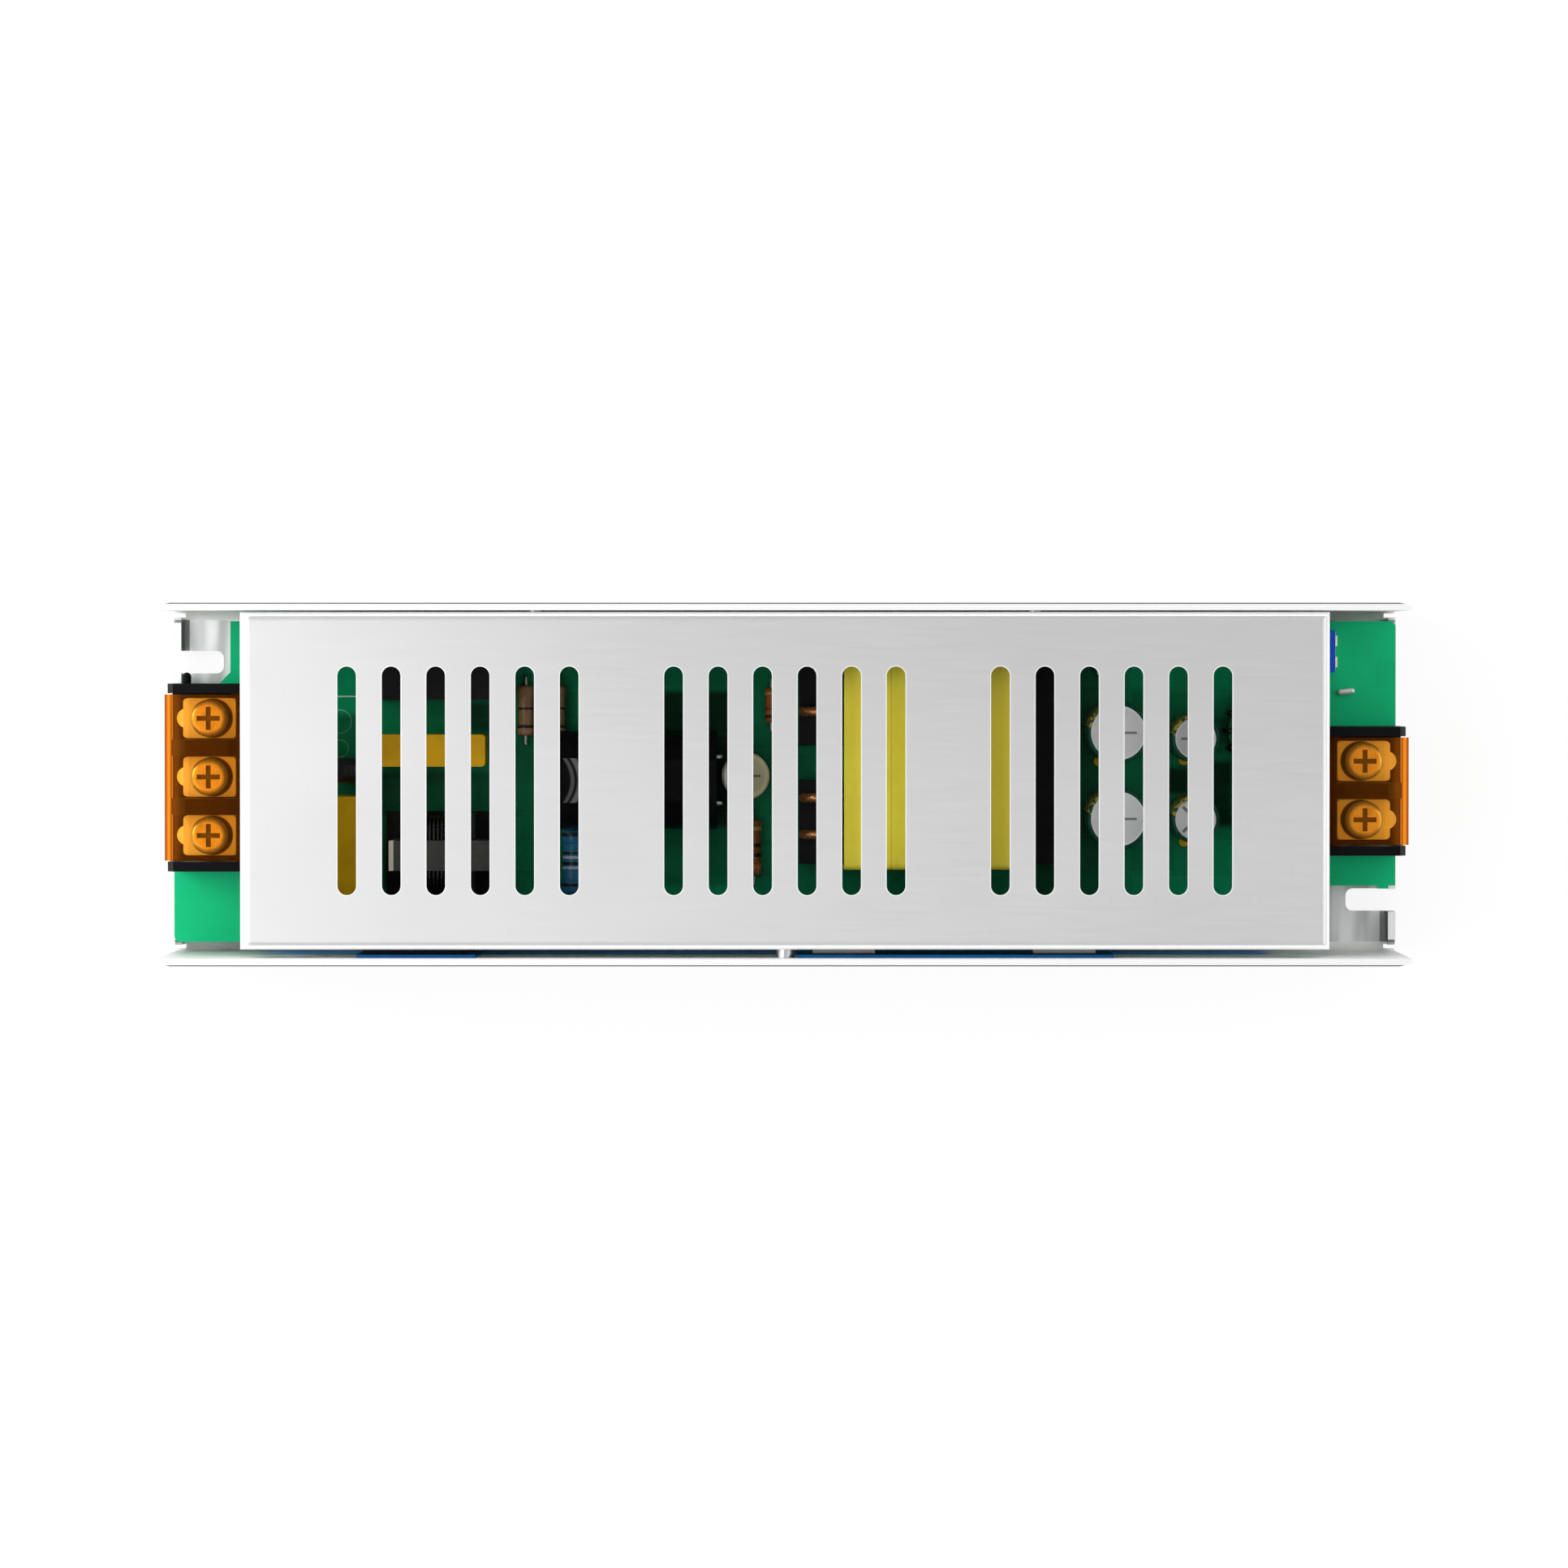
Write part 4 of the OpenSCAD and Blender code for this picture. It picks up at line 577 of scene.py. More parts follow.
def solder_mask(colours):
    """Green mask with paler copper under it, thin printed outlines, bare copper pads and a bare cut edge, with
    painted shade under the cover and on dark fields.
    """
    green = colours.board
    f = Finish("board_mask")
    x = f.axes()[0]
    cells = f.node("ShaderNodeTexBrick", {"offset": 0.37, "squash": 0.8, "squash_frequency": 3}, {
        "Vector": f.stretched(1, 1, 0), "Scale": 62.0, "Mortar Size": 0.03, "Mortar Smooth": 0.1,
        "Brick Width": 0.62, "Row Height": 0.31,
        "Color1": grey(0.0), "Color2": grey(1.0), "Mortar": grey(0.5)})
    cloud = f.noise(24.0, 2.0)
    weave = f.noise(2400.0, 2.0)
    cover_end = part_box("top_cover")[1][0]
    # Painted shade: the mask is darker where the cover is over it
    covered = 1.0 - f.steps(abs(x), cover_end - 2.0 * MM, cover_end + 1.0 * MM)
    mask = f.mix(cells, shade(green, 0.90), shade(green, 1.06))
    mask = f.mix(f.steps(cloud, 0.3, 0.8), mask, shade(green, 1.12))
    mask = f.mix(covered, mask, f.mix(cells, shade(green, 0.50), shade(green, 0.72)))
    mask = f.mix(fuse_print(f) * 0.8, mask, (0.75, 0.80, 0.74))
    # Painted shade on the listed fields
    for low, high, tone in SHADED_FIELDS:
        share = f.field([v * MM for v in low], [v * MM for v in high])
        mask = f.mix(share, mask, grey(tone), "MULTIPLY")
    for place in BARE_PADS:
        mask = f.mix(f.reach([v * MM for v in place]) < PAD_RADIUS, mask, (1.0, 0.56, 0.01))
    edge = f.mix(weave, colours.board_edge, shade(colours.board_edge, 1.25))
    base = f.mix(f.steps(abs(f.up()), 0.4, 0.6), edge, mask)
    return f.done(f.surface(base, 0.30 + weave * 0.10, bump=cells, strength=0.12))


def fuse_print(f):
    """The outline printed round the fuse holder and the two fainter rings beside it."""
    low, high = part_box("fuse_holder")
    middle_x, middle_y, _ = middle("fuse_holder")
    x, y, _ = f.axes()
    aside = abs(x - (middle_x + PRINT_SHIFT * MM)) - (high[0] - low[0]) / 2 - PRINT_MARGINS[0] * MM
    along = abs(y - middle_y) - (high[1] - low[1]) / 2 - PRINT_MARGINS[1] * MM
    marks = abs(aside.most(along)) < PRINT_HALF * MM
    for place, radius, half in PRINT_RINGS:
        centre = [corner + v * MM for corner, v in zip(low, place)]
        marks = marks.most((abs(f.reach(centre) - radius * MM) < half * MM) * 0.35)
    return marks


def clear_amber(colours):
    """Clear amber plastic: light goes through tinted, the skin is glossy."""
    f = Finish("clear_amber")
    flow = f.streaks(160, 45, 300, 2.0)
    amber = f.mix(flow, (0.80, 0.22, 0.006), (0.95, 0.30, 0.012))
    skin = f.surface(amber, 0.10 + flow * 0.05, bump=flow, depth=COARSE, strength=0.1, shine=0.5)
    x = f.axes()[0]
    inward = (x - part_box("input_flap")[0][0]).least(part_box("output_flap")[1][0] - x)
    edge = 1.0 - f.steps(inward, 0.9 * MM, 1.1 * MM)
    rim = (1.0 - f.steps(inward, 0.2 * MM, 0.35 * MM)).most(abs(inward - 1.05 * MM) < 0.12 * MM)
    tone = f.mix(edge, f.mix(flow, shade(colours.flap, 0.97), colours.flap), (0.97, 0.56, 0.12))
    tone = f.mix(rim, tone, (0.62, 0.24, 0.06))
    tint = f.node("ShaderNodeBsdfTransparent", {}, {"Color": tone})
    share = 0.025 + flow * 0.02 + (1.0 - f.steps(inward, 1.6 * MM, 3.0 * MM)) * 0.06
    return f.done(f.node("ShaderNodeMixShader", {}, {0: share, 1: tint, 2: skin}))


def can_finish(name, colours, top_tone, lip=CAN_LIP, lit_tone=None, crossed=False):
    """Upright capacitors: a printed shrink sleeve and a bare scored top with painted shade on half of it and
    in the scored cross and a painted highlight near its turned edge; painted light on part of the top, or a
    painted cross, where asked.
    """
    low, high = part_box(name)
    radius = (high[0] - low[0]) / 2
    cx, cy, _ = middle(name)
    f = Finish(name + "_sleeve")
    x, y, z = f.axes()
    reach = f.reach((cx, low[1] + radius)).least(f.reach((cx, high[1] - radius)))
    upper = y > cy
    near = y - low[1] - radius - upper * (high[1] - low[1] - 2 * radius)
    bare = (z > high[2] - BARE_DEPTH) * (reach < radius - lip)
    scored = bare * (z < high[2] - SCORE_DEPTH)
    if crossed:
        arms = abs(near + x - cx).least(abs(near - x + cx)) < 0.34 * MM
        scored = (scored * upper).most(arms * bare * (1.0 - upper) * (reach < radius * 0.74))
    brush = f.streaks(500, 4200, 500)
    grain = f.noise(900.0)
    metal_tone = f.mix(brush, shade(top_tone, 0.92), top_tone)
    # Painted shade on the half of each top towards -Y
    metal_tone = f.mix((near < 0.0) * 0.5, metal_tone, shade(top_tone, 0.86))
    # Painted highlight near the turned edge
    turned = f.steps(reach, radius - 1.1 * MM, radius - 0.7 * MM)
    metal_tone = f.mix(turned * 0.7, metal_tone, shade(top_tone, 1.35))
    # Painted light where a lit tone is given
    if lit_tone:
        share = (1.0 - upper) if crossed else 1.0 - f.steps(x, cx - 2.6 * MM, cx + 0.6 * MM)
        metal_tone = f.mix(share, metal_tone, lit_tone)
    # Painted shade in the scored cross
    metal_tone = f.mix(scored, metal_tone, shade(top_tone, 0.35))
    stripe = (x < cx) * (near > 0.0) * (abs(near + (x - cx)) < 0.75 * radius)
    print_marks = stripe * (f.noise(1500.0, 2.0) > 0.46)
    sleeve = f.mix(grain, colours.green_sleeve, shade(colours.green_sleeve, 1.6))
    base = f.mix(bare, f.mix(print_marks, sleeve, colours.gold_print), metal_tone)
    rough = 0.22 + bare * 0.16 + grain * 0.08
    return f.done(f.surface(base, rough, bare * 0.4, brush * bare + grain * 0.3))


def lying_can(colours):
    """The bulk capacitor: black gloss sleeve with painted highlights along its creases near its bare scored
    end.
    """
    low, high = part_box("bulk_capacitor")
    radius = (high[1] - low[1]) / 2
    cy, cz = middle("bulk_capacitor")[1], high[2] - radius
    f = Finish("bulk_sleeve")
    x, y, z = f.axes()
    reach = ((y - cy) * (y - cy) + (z - cz) * (z - cz)).root()
    bare = (x < low[0] + BULK_END) * (reach < radius - CAN_LIP)
    metal = bare.most(x > high[0] - BULK_LEADS)
    # Painted highlights: pale arcs along the sleeve's creases near the bare end
    bow = x - low[0] - SHEEN_PLACE + (y - cy) * (y - cy) * SHEEN_BEND
    wide = 1.0 - f.steps(abs(bow), *WIDE_SHEEN)
    thin = 1.0 - f.steps(abs(bow + SHEEN_STEP), *THIN_SHEEN)
    creases = wide.most(thin * 0.6) * (abs(y - cy) < SHEEN_HALF) * (z > cz)
    film = f.noise(700.0)
    sleeve = f.mix(film, (0.004, 0.004, 0.005), (0.010, 0.010, 0.011))
    sleeve = f.mix(creases, sleeve, (0.26, 0.26, 0.25))
    base = f.mix(metal, sleeve, colours.can_top)
    rough = 0.16 + film * 0.07 + bare * 0.15
    return f.done(f.surface(base, rough, metal * 0.8, film, strength=0.2, shine=0.05))


def tape_finish(colours):
    """Yellow tape with lapped edges, pressed on so that it shows faint creases."""
    low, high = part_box("transformer_sleeve")
    f = Finish("winding_tape")
    x = f.axes()[0]
    creases = f.streaks(60, 700, 300)
    blotch = f.noise(130.0)
    laps = 0.0
    for share in TAPE_LAPS:
        laps = laps + (abs(x - (low[0] + (high[0] - low[0]) * share)) < LAP_HALF)
    base = f.mottled(colours.tape, 1.16, blotch, 0.3, 0.75)
    base = f.mix(laps * 0.6, base, shade(colours.tape, 0.7))
    # Painted shade: the tape darkens towards its far end
    base = f.mix(f.steps(x, high[0] - TAPE_FADE, high[0]), base, shade(colours.tape, 0.84))
    rough = 0.30 + blotch * 0.12
    return f.done(f.surface(base, rough, bump=creases + laps, depth=CREASED, strength=0.25, shine=0.15))


def film_box(name, tone):
    """A potted or dipped capacitor: gloss plastic with faint flow marks."""
    f = Finish(name)
    flow = f.streaks(180, 180, 60)
    speck = f.noise(1400.0)
    base = f.mix(f.steps(flow, 0.3, 0.7), shade(tone, 0.9), shade(tone, 1.08))
    return f.done(f.surface(base, 0.25 + speck * 0.1, bump=speck, strength=0.2))


def wound_wire(name, tone):
    """Enamelled wire: bright metal under a tinted coat."""
    f = Finish(name)
    tint = f.noise(900.0, 2.0)
    base = f.mix(tint, shade(tone, 0.75), tone)
    return f.done(f.surface(base, 0.22 + tint * 0.1, 0.75, tint, FINE, 0.2, coat_weight=0.5))


def ferrite(name, tone):
    """Fired ferrite: dark grey, granular."""
    f = Finish(name)
    grain = f.noise(2600.0, 4.0)
    cloud = f.noise(160.0)
    base = f.mix(grain, shade(tone, 0.75), f.mix(cloud, tone, shade(tone, 1.3)))
    return f.done(f.surface(base, 0.48 + grain * 0.2, 0.1, grain, COARSE, 0.4))


def choke_ferrite(colours):
    """The line choke's frame: grey ferrite with a cream dab of varnish on its outer end."""
    low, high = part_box("choke_core")
    f = Finish("choke_ferrite")
    x, _, z = f.axes()
    grain = f.noise(2600.0, 4.0)
    base = f.mix(grain, (0.052, 0.052, 0.05), (0.085, 0.085, 0.082))
    dab = (x < low[0] + DAB_DEPTH) * (z > high[2] - DAB_HEIGHT)
    base = f.mix(dab * 0.85, base, colours.cream)
    return f.done(f.surface(base, 0.48 + grain * 0.2, 0.1, grain, COARSE, 0.4))


def trimmer_moulding(colours):
    """The trimmer's body: blue moulding on cream feet."""
    f = Finish("trimmer_moulding")
    speckle = f.noise(1500.0, 4.0)
    feet = f.axes()[0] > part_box("trimmer_body")[1][0] - TRIMMER_FEET
    base = f.mix(speckle, colours.trimmer, shade(colours.trimmer, 1.35))
    base = f.mix(feet, base, shade(colours.cream, 1.25))
    return f.done(f.surface(base, 0.25 + speckle * 0.12, bump=speckle))


def power_case(name, back=None):
    """Moulded power device on tinned legs, with a tinned tab at the wall where back says its place."""
    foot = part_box(name)[0][2]
    f = Finish(name + "_case")
    _, y, z = f.axes()
    metal = z < foot + LEG_TOP
    if back is not None:
        metal = metal.most((y < back + TAB_THICKNESS) * (z > foot + TAB_FOOT))
    speck = f.noise(1700.0)
    body = f.mix(speck, (0.014, 0.014, 0.016), (0.03, 0.03, 0.033))
    base = f.mix(metal, body, TINNED)
    return f.done(f.surface(base, 0.42 - metal * 0.12 + speck * 0.1, metal, speck))


def legged_chip(name):
    """Moulded chip on tinned legs."""
    f = Finish(name + "_case")
    legs = abs(f.axes()[1] - middle(name)[1]) > CHIP_HALF
    speck = f.noise(1700.0)
    body = f.mix(speck, (0.013, 0.013, 0.015), (0.028, 0.028, 0.03))
    base = f.mix(legs, body, (0.7, 0.69, 0.66))
    return f.done(f.surface(base, 0.44 - legs * 0.14, legs, speck))


def silicone(colours):
    """Heat pad: matt silicone over a woven carrier."""
    f = Finish("heat_pad")
    x, _, z = f.axes()
    weave = (x * PAD_WEAVE).wave() * (z * PAD_WEAVE).wave()
    base = f.mottled(colours.heat_pad, 1.2, f.noise(60.0, 2.0), 0.3, 0.7)
    return f.done(f.surface(base, 0.5 + weave * 0.06, bump=weave))


def paint(material, *nodes):
    """Puts a finish on every slot of the nodes."""
    for name in nodes:
        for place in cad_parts[name].material_slots:
            place.material = material


# Wound wire and solder

COIL_INPUTS = ("Width", "Height", "Corner", "Wire", "Turns", "Pitch", "Material")
RING_INPUTS = COIL_INPUTS + ("Reach",)
JOINT_INPUTS = ("Foot", "Tip", "Height", "Material")
INPUT_KINDS = {"Turns": "NodeSocketInt", "Material": "NodeSocketMaterial"}


def grow(tree_name, inputs, build):
    """A geometry tree with the named inputs, filled by build."""
    tree = bpy.data.node_groups.new(tree_name, "GeometryNodeTree")
    tree.interface.new_socket(name="Geometry", in_out="INPUT", socket_type="NodeSocketGeometry")
    for name in inputs:
        kind = INPUT_KINDS.get(name, "NodeSocketFloat")
        tree.interface.new_socket(name=name, in_out="INPUT", socket_type=kind)
    tree.interface.new_socket(name="Geometry", in_out="OUTPUT", socket_type="NodeSocketGeometry")
    given = tree.nodes.new("NodeGroupInput").outputs
    leave = tree.nodes.new("NodeGroupOutput")

    def add(kind, sockets=None, **settings):
        node = tree.nodes.new(kind)
        for key, value in settings.items():
            setattr(node, key, value)
        for key, value in (sockets or {}).items():
            if isinstance(value, bpy.types.NodeSocket):
                tree.links.new(value, node.inputs[key])
            else:
                node.inputs[key].default_value = value
        return node.outputs[0]

    real = add("GeometryNodeRealizeInstances", {"Geometry": build(add, given)})
    smooth = add("GeometryNodeSetShadeSmooth", {"Geometry": real})
    skin = add("GeometryNodeSetMaterial", {"Geometry": smooth, "Material": given["Material"]})
    tree.links.new(skin, leave.inputs[0])
    return tree


def one_turn(add, given):
    """A closed rounded turn of round wire in the XY plane."""
    sides = {"Width": given["Width"], "Height": given["Height"]}
    loop = add("GeometryNodeCurvePrimitiveQuadrilateral", sides)
    corners = {"Curve": loop, "Radius": given["Corner"], "Count": 5}
    bent = add("GeometryNodeFilletCurve", corners, mode="POLY")
    wire = add("GeometryNodeCurvePrimitiveCircle", {"Resolution": 8, "Radius": given["Wire"]}, mode="RADIUS")
    return add("GeometryNodeCurveToMesh", {"Curve": bent, "Profile Curve": wire})


def straight_coil(add, given):
    """Turns side by side along x."""
    upright = add("GeometryNodeTransform", {
        "Geometry": one_turn(add, given), "Rotation": (math.pi / 2, 0, math.pi / 2)})
    step = add("ShaderNodeCombineXYZ", {"X": given["Pitch"]})
    row = add("GeometryNodeMeshLine", {"Count": given["Turns"], "Offset": step}, mode="OFFSET")
    return add("GeometryNodeInstanceOnPoints", {"Points": row, "Instance": upright})


def ring_coil(add, given):
    """Turns round a ring that lies flat."""
    out = add("ShaderNodeCombineXYZ", {"X": given["Reach"]})
    upright = add("GeometryNodeTransform", {
        "Geometry": one_turn(add, given), "Translation": out, "Rotation": (math.pi / 2, 0, 0)})
    spots = add("GeometryNodeMeshLine", {"Count": given["Turns"], "Offset": (0, 0, 0)}, mode="OFFSET")
    part = add("ShaderNodeMath", {0: add("GeometryNodeInputIndex"), 1: given["Pitch"]}, operation="MULTIPLY")
    turn = add("ShaderNodeCombineXYZ", {"Z": part})
    return add("GeometryNodeInstanceOnPoints", {"Points": spots, "Instance": upright, "Rotation": turn})


def joints_on_points(add, given):
    """A solder cone at every point of the mesh, with its foot upwards against the board."""
    points = add("GeometryNodeMeshToPoints", {"Mesh": given["Geometry"]})
    cone = add("GeometryNodeMeshCone", {
        "Vertices": 14, "Side Segments": 2, "Radius Top": given["Foot"], "Radius Bottom": given["Tip"],
        "Depth": given["Height"]}, fill_type="TRIANGLE_FAN")
    return add("GeometryNodeInstanceOnPoints", {"Points": points, "Instance": cone})


def grown_piece(name, tree, values, place, points=()):
    """Runs a geometry tree and keeps its result as a plain mesh, moved to its place."""
    seed = bpy.data.objects.new(name + "_seed", bpy.data.meshes.new(name + "_seed"))
    seed.data.from_pydata(list(points), [], [])
    bpy.context.scene.collection.objects.link(seed)
    modifier = seed.modifiers.new("grow", "NODES")
    modifier.node_group = tree
    for item in tree.interface.items_tree:
        if item.item_type == "SOCKET" and item.in_out == "INPUT" and item.name in values:
            modifier[item.identifier] = values[item.name]
    ready = seed.evaluated_get(bpy.context.evaluated_depsgraph_get())
    mesh = bpy.data.meshes.new_from_object(ready)
    mesh.name = name
    mesh.transform(Matrix.Translation(place))
    seed.modifiers.remove(modifier)
    bpy.data.objects.remove(seed)
    piece = bpy.data.objects.new(name, mesh)
    bpy.context.scene.collection.objects.link(piece)
    return piece


def wound_piece(name, coil, node, start, span, wire, corner, material):
    """A coil over a span of a node's box along x."""
    low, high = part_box(node)
    turns = int(span / wire)
    values = {"Width": high[1] - low[1] - wire, "Height": high[2] - low[2] - wire, "Corner": corner,
              "Wire": wire / 2, "Turns": turns, "Pitch": span / turns, "Material": material}
    _, y, z = middle(node)
    return grown_piece(name, coil, values, (start + wire / 2, y, z))


# Operators

class SUPPLY_OT_stage(bpy.types.Operator):
    """Sets the camera, floor, sky and lamps of the photo"""
    bl_idname = "supply.stage"
    bl_label = "Stage"

    def execute(self, context):
        scene = context.scene
        stage = scene.supply_stage
        scene.view_settings.view_transform = "Standard"
        self.camera(scene, stage)
        self.floor(scene)
        self.sky(scene, stage)
        self.lamp(scene, "key_lamp", (-0.50, -0.12, 0.90), 0.45, stage.key)
        self.lamp(scene, "fill_lamp", (0.7, 0.5, 1.2), 0.9, stage.fill)
        self.lamp(scene, "left_lamp", (-0.55, 0.20, 0.45), 0.30, stage.left)
        self.lamp(scene, "right_lamp", (0.62, 0.10, 0.40), 0.30, stage.right)
        return {"FINISHED"}

    def camera(self, scene, stage):
        data = bpy.data.cameras.new("photo_camera")
        data.lens = stage.lens
        data.sensor_width = FRAME_WIDTH
        data.clip_end = FAR_LIMIT
        eye = bpy.data.objects.new("photo_camera", data)
        eye.location = (stage.aim_x, stage.camera_back, stage.camera_height)
        eye.rotation_euler = (-math.atan2(stage.camera_back - stage.aim_y, stage.camera_height), 0, 0)
        scene.collection.objects.link(eye)
        scene.camera = eye

    def floor(self, scene):
        mesh = bpy.data.meshes.new("floor")
        corners = ((-1, -1), (1, -1), (1, 1), (-1, 1))
        points = [(x * FLOOR_HALF, y * FLOOR_HALF, -FLOOR_DROP) for x, y in corners]
        mesh.from_pydata(points, [], [(0, 1, 2, 3)])
        f = Finish("floor_paper")
        paper = f.surface(f.mix(f.noise(60.0, 2.0), grey(0.93), grey(0.95)), 0.9)
        glow = f.node("ShaderNodeEmission", {}, {"Color": grey(1.0), "Strength": 1.0})
        sockets = {0: f.ray("Camera") * 0.86, 1: paper, 2: glow}
        mesh.materials.append(f.done(f.node("ShaderNodeMixShader", {}, sockets)))
        floor = bpy.data.objects.new("floor", mesh)
        scene.collection.objects.link(floor)

    def sky(self, scene, stage):
        """White behind the object, even on matt faces, dimmer overhead in glossy ones."""
        f = Finish("studio_sky", sky=True)
        seen = f.ray("Camera") + f.ray("Transmission")
        mirrored = f.ray("Glossy")
        reflected = f.steps(f.axes()[2], 0.45, 0.97, stage.side_gloss, stage.gloss)
        strength = seen + (1.0 - seen) * (mirrored * reflected + (1.0 - mirrored) * stage.world)
        scene.world = f.done(f.node("ShaderNodeBackground", {}, {"Color": grey(1.0), "Strength": strength}))

    def lamp(self, scene, name, place, size, power):
        data = bpy.data.lights.new(name, "AREA")
        data.size = size
        data.energy = power
        lamp = bpy.data.objects.new(name, data)
        lamp.location = place
        lamp.rotation_euler = (-Vector(place)).to_track_quat("-Z", "Y").to_euler()
        scene.collection.objects.link(lamp)


class SUPPLY_OT_case(bpy.types.Operator):
    """Finishes the channel, the cover, the film and the screws that hold them"""
    bl_idname = "supply.case"
    bl_label = "Case"

    def execute(self, context):
        colours = context.scene.supply_colours
        paint(channel_metal(colours), "base_channel")
        paint(cover_metal(colours), "top_cover")
        paint(plated("zinc_plate", colours.steel, 0.26), "cover_screws", "board_screws", "device_screws")
        paint(plated("plain_post", shade(colours.steel, 0.9), 0.35), "board_standoffs")
        paint(moulded("insulating_film", (0.62, 0.61, 0.55), 0.3, 300.0), "insulating_sheet")
        return {"FINISHED"}


class SUPPLY_OT_board(bpy.types.Operator):
    """Finishes the circuit board and solders the leads on its underside"""
    bl_idname = "supply.board"
    bl_label = "Board"

    def execute(self, context):
        colours = context.scene.supply_colours
        sizes = context.scene.supply_sizes
        paint(solder_mask(colours), "circuit_board")
        paint(plated("link_tin", (0.80, 0.79, 0.76), 0.35, 0.5), "wire_link")
        tree = grow("solder_joints", JOINT_INPUTS, joints_on_points)
        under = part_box("circuit_board")[0][2]
        spots = [(x, y, under - sizes.joint_height) for x, y in self.leads()]
        values = {"Foot": sizes.joint_radius, "Tip": JOINT_TIP, "Height": sizes.joint_height,
                  "Material": plated("solder", (0.70, 0.70, 0.69), 0.22)}
        piece = grown_piece("solder_joints", tree, values, (0, 0, 0), spots)
        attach(piece, "case")
        return {"FINISHED"}

    def leads(self):
        """Places where component leads pass through the board."""
        spots = []
        for node, pitch in LEAD_PITCH.items():
            x, y, _ = middle(node)
            spots += [(x - pitch / 2, y), (x + pitch / 2, y)]
        for node in LEADS_ALONG_Y:
            low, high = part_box(node)
            spots += [(middle(node)[0], y) for y in (low[1] + INSET_Y, high[1] - INSET_Y)]
        for node in LEADS_ALONG_X:
            low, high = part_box(node)
            spots += [(x, middle(node)[1]) for x in (low[0] + INSET_X, high[0] - INSET_X)]
        for node, rows in BOBBIN_ROWS.items():
            low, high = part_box(node)
            for i in range(rows):
                y = low[1] + (i + 0.5) * (high[1] - low[1]) / rows
                spots += [(x, y) for x in (low[0] + INSET_BOBBIN, high[0] - INSET_BOBBIN)]
        return spots


class SUPPLY_OT_terminals(bpy.types.Operator):
    """Finishes the terminal blocks, contacts, clamps, screws and flaps"""
    bl_idname = "supply.terminals"
    bl_label = "Terminals"

    def execute(self, context):
        colours = context.scene.supply_colours
        nickel = colours.nickel
        moulding = moulded("terminal_moulding", colours.terminal, 0.28, shine=0.04)
        paint(moulding, "input_terminal_block", "output_terminal_block")
        paint(plated("contact_plate", shade(nickel, 1.05), 0.3, 0.3), "input_contacts", "output_contacts")
        for way in WAYS:
            paint(clamp_plate(way + "_clamp", nickel), way + "_clamp")
            paint(screw_plate(way + "_screw", nickel), way + "_screw")
        paint(clear_amber(colours), "input_flap", "output_flap")
        return {"FINISHED"}


class SUPPLY_OT_capacitors(bpy.types.Operator):
    """Finishes the capacitors"""
    bl_idname = "supply.capacitors"
    bl_label = "Capacitors"

    def execute(self, context):
        colours = context.scene.supply_colours
        # Painted light and shade on the bare tops: the large tops are brightened, the pale tone is painted
        # light, and the startup top's khaki stands for its shaded part
        pale = (0.90, 0.90, 0.89)
        cans = {
            "output_capacitors_large": {"top_tone": shade(colours.can_top, 1.3)},
            "output_capacitors_small": {
                "top_tone": colours.can_top, "lit_tone": shade(pale, 0.85), "crossed": True},
            "startup_capacitor": {"top_tone": (0.46, 0.43, 0.27), "lip": 0.1 * MM, "lit_tone": pale},
        }
        for node, options in cans.items():
            paint(can_finish(node, colours, **options), node)
        paint(lying_can(colours), "bulk_capacitor")
        paint(film_box("line_film_box", colours.line_film), "line_capacitor")
        paint(film_box("filter_film_box", colours.filter_film), "filter_capacitor")
        paint(film_box("blue_disc", (0.02, 0.10, 0.36)), "safety_capacitor")
        return {"FINISHED"}


class SUPPLY_OT_resistors(bpy.types.Operator):
    """Finishes the resistors and the thermistor"""
    bl_idname = "supply.resistors"
    bl_label = "Resistors"

    def execute(self, context):
        for node, (name, tone, half, rings) in RESISTORS.items():
            paint(lacquer(name, tone, half, rings, middle(node)[1]), node)
        paint(moulded("thermistor_dip", JET_MOULDING, 0.3, 900.0, 0.2), "inrush_thermistor")
        return {"FINISHED"}


class SUPPLY_OT_devices(bpy.types.Operator):
    """Finishes the power devices, chips, pads, fuse holder and trimmer"""
    bl_idname = "supply.devices"
    bl_label = "Devices"

    def execute(self, context):
        colours = context.scene.supply_colours
        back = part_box("heat_pads")[1][1]
        for node in ("switching_transistor", "output_rectifier"):
            paint(power_case(node, back), node)
        paint(power_case("rectifier_bridge"), "rectifier_bridge")
        for node in ("control_chip", "optocoupler"):
            paint(legged_chip(node), node)
        paint(silicone(colours), "heat_pads")
        paint(moulded("fuse_moulding", BLACK_MOULDING, 0.3), "fuse_holder")
        paint(trimmer_moulding(colours), "trimmer_body")
        paint(moulded("rotor_moulding", colours.cream, 0.35), "trimmer_rotor")
        return {"FINISHED"}


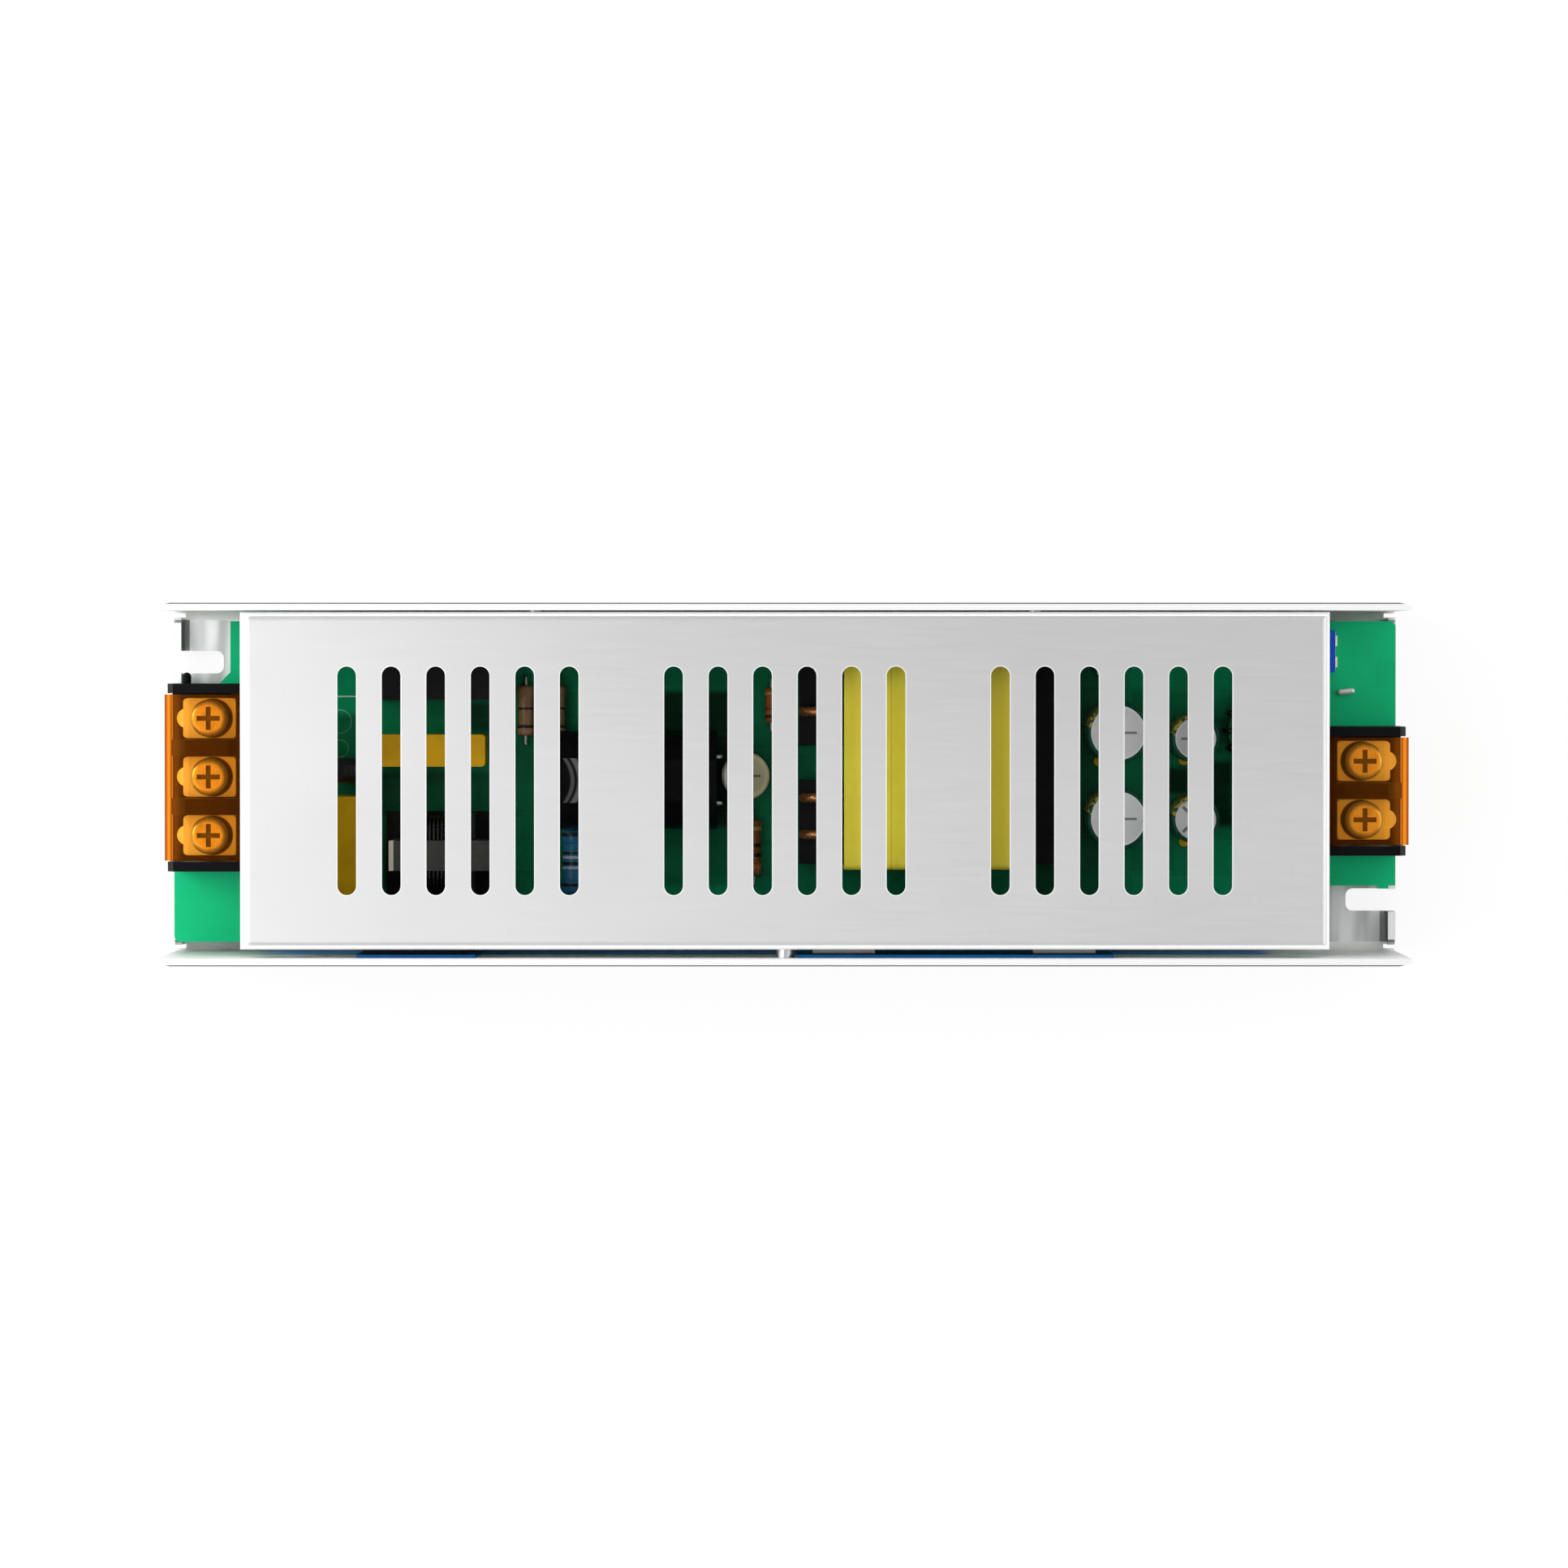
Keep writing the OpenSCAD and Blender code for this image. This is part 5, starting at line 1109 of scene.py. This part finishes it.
class SUPPLY_OT_windings(bpy.types.Operator):
    """Winds the line choke, the output choke and the transformer"""
    bl_idname = "supply.windings"
    bl_label = "Windings"

    def execute(self, context):
        colours = context.scene.supply_colours
        sizes = context.scene.supply_sizes
        coil = grow("straight_coil", COIL_INPUTS, straight_coil)
        ring = grow("ring_coil", RING_INPUTS, ring_coil)
        self.choke(coil, sizes, colours)
        self.output_choke(ring, sizes)
        self.transformer(coil, sizes, colours)
        return {"FINISHED"}

    def choke(self, coil, sizes, colours):
        low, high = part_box("choke_windings")
        enamel = wound_wire("dark_enamel", (0.012, 0.009, 0.008))
        bay = (high[0] - low[0] - COIL_GAP) / 2
        for side, start in (("left", low[0]), ("right", high[0] - bay)):
            piece = wound_piece("choke_turns_" + side, coil, "choke_windings", start, bay,
                                sizes.choke_wire, CHOKE_CORNER, enamel)
            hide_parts("choke_windings")
            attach(piece, "case")
        paint(choke_ferrite(colours), "choke_core")
        paint(moulded("bobbin_moulding", BLACK_MOULDING, 0.32), "choke_bobbin")

    def output_choke(self, ring, sizes):
        low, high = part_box("output_choke_core")
        wire = sizes.ring_wire
        outer = (high[0] - low[0]) / 2
        room = RING_ROOM * wire
        values = {"Width": outer - RING_BORE + room, "Height": high[2] - low[2] + room,
                  "Corner": RING_CORNER, "Wire": wire / 2, "Turns": sizes.ring_turns,
                  "Pitch": 2 * math.pi / sizes.ring_turns, "Reach": (outer + RING_BORE) / 2,
                  "Material": wound_wire("dark_wire", (0.012, 0.03, 0.02))}
        piece = grown_piece("output_choke_turns", ring, values, middle("output_choke_core"))
        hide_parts("output_choke_winding")
        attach(piece, "case")
        paint(ferrite("ring_powder", (0.02, 0.16, 0.06)), "output_choke_core")

    def transformer(self, coil, sizes, colours):
        low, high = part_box("transformer_winding")
        copper = wound_wire("copper_wire", colours.copper)
        piece = wound_piece("transformer_turns", coil, "transformer_winding", low[0], high[0] - low[0],
                            sizes.coil_wire, COIL_CORNER, copper)
        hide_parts("transformer_winding")
        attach(piece, "case")
        paint(ferrite("transformer_ferrite", (0.045, 0.045, 0.048)), "transformer_core")
        paint(moulded("rail_moulding", JET_MOULDING, 0.3), "transformer_bobbin")
        paint(tape_finish(colours), "transformer_sleeve")
        paint(copper, "transformer_leads")


class SUPPLY_PT_sidebar(bpy.types.Panel):
    """Lists the supply's pieces and their settings"""
    bl_label = "LED power supply"
    bl_idname = "SUPPLY_PT_sidebar"
    bl_space_type = "VIEW_3D"
    bl_region_type = "UI"
    bl_category = "Supply"

    def draw(self, context):
        for group in (context.scene.supply_colours, context.scene.supply_sizes, context.scene.supply_stage):
            box = self.layout.box()
            for name in group.bl_rna.properties.keys():
                if name not in ("name", "rna_type"):
                    box.prop(group, name)
        for operator in OPERATORS:
            self.layout.operator(operator.bl_idname)


OPERATORS = (
    SUPPLY_OT_stage, SUPPLY_OT_case, SUPPLY_OT_board, SUPPLY_OT_terminals, SUPPLY_OT_capacitors,
    SUPPLY_OT_resistors, SUPPLY_OT_devices, SUPPLY_OT_windings,
)
GROUPS = (SupplyColours, SupplySizes, StageSettings)
CLASSES = GROUPS + OPERATORS + (SUPPLY_PT_sidebar,)


def register():
    for entry in CLASSES:
        bpy.utils.register_class(entry)
    bpy.types.Scene.supply_colours = PointerProperty(type=SupplyColours)
    bpy.types.Scene.supply_sizes = PointerProperty(type=SupplySizes)
    bpy.types.Scene.supply_stage = PointerProperty(type=StageSettings)


def unregister():
    del bpy.types.Scene.supply_stage
    del bpy.types.Scene.supply_sizes
    del bpy.types.Scene.supply_colours
    for entry in reversed(CLASSES):
        bpy.utils.unregister_class(entry)


def main():
    register()
    bpy.ops.supply.stage()
    bpy.ops.supply.case()
    bpy.ops.supply.board()
    bpy.ops.supply.terminals()
    bpy.ops.supply.capacitors()
    bpy.ops.supply.resistors()
    bpy.ops.supply.devices()
    bpy.ops.supply.windings()


if __name__ == "__main__":
    main()
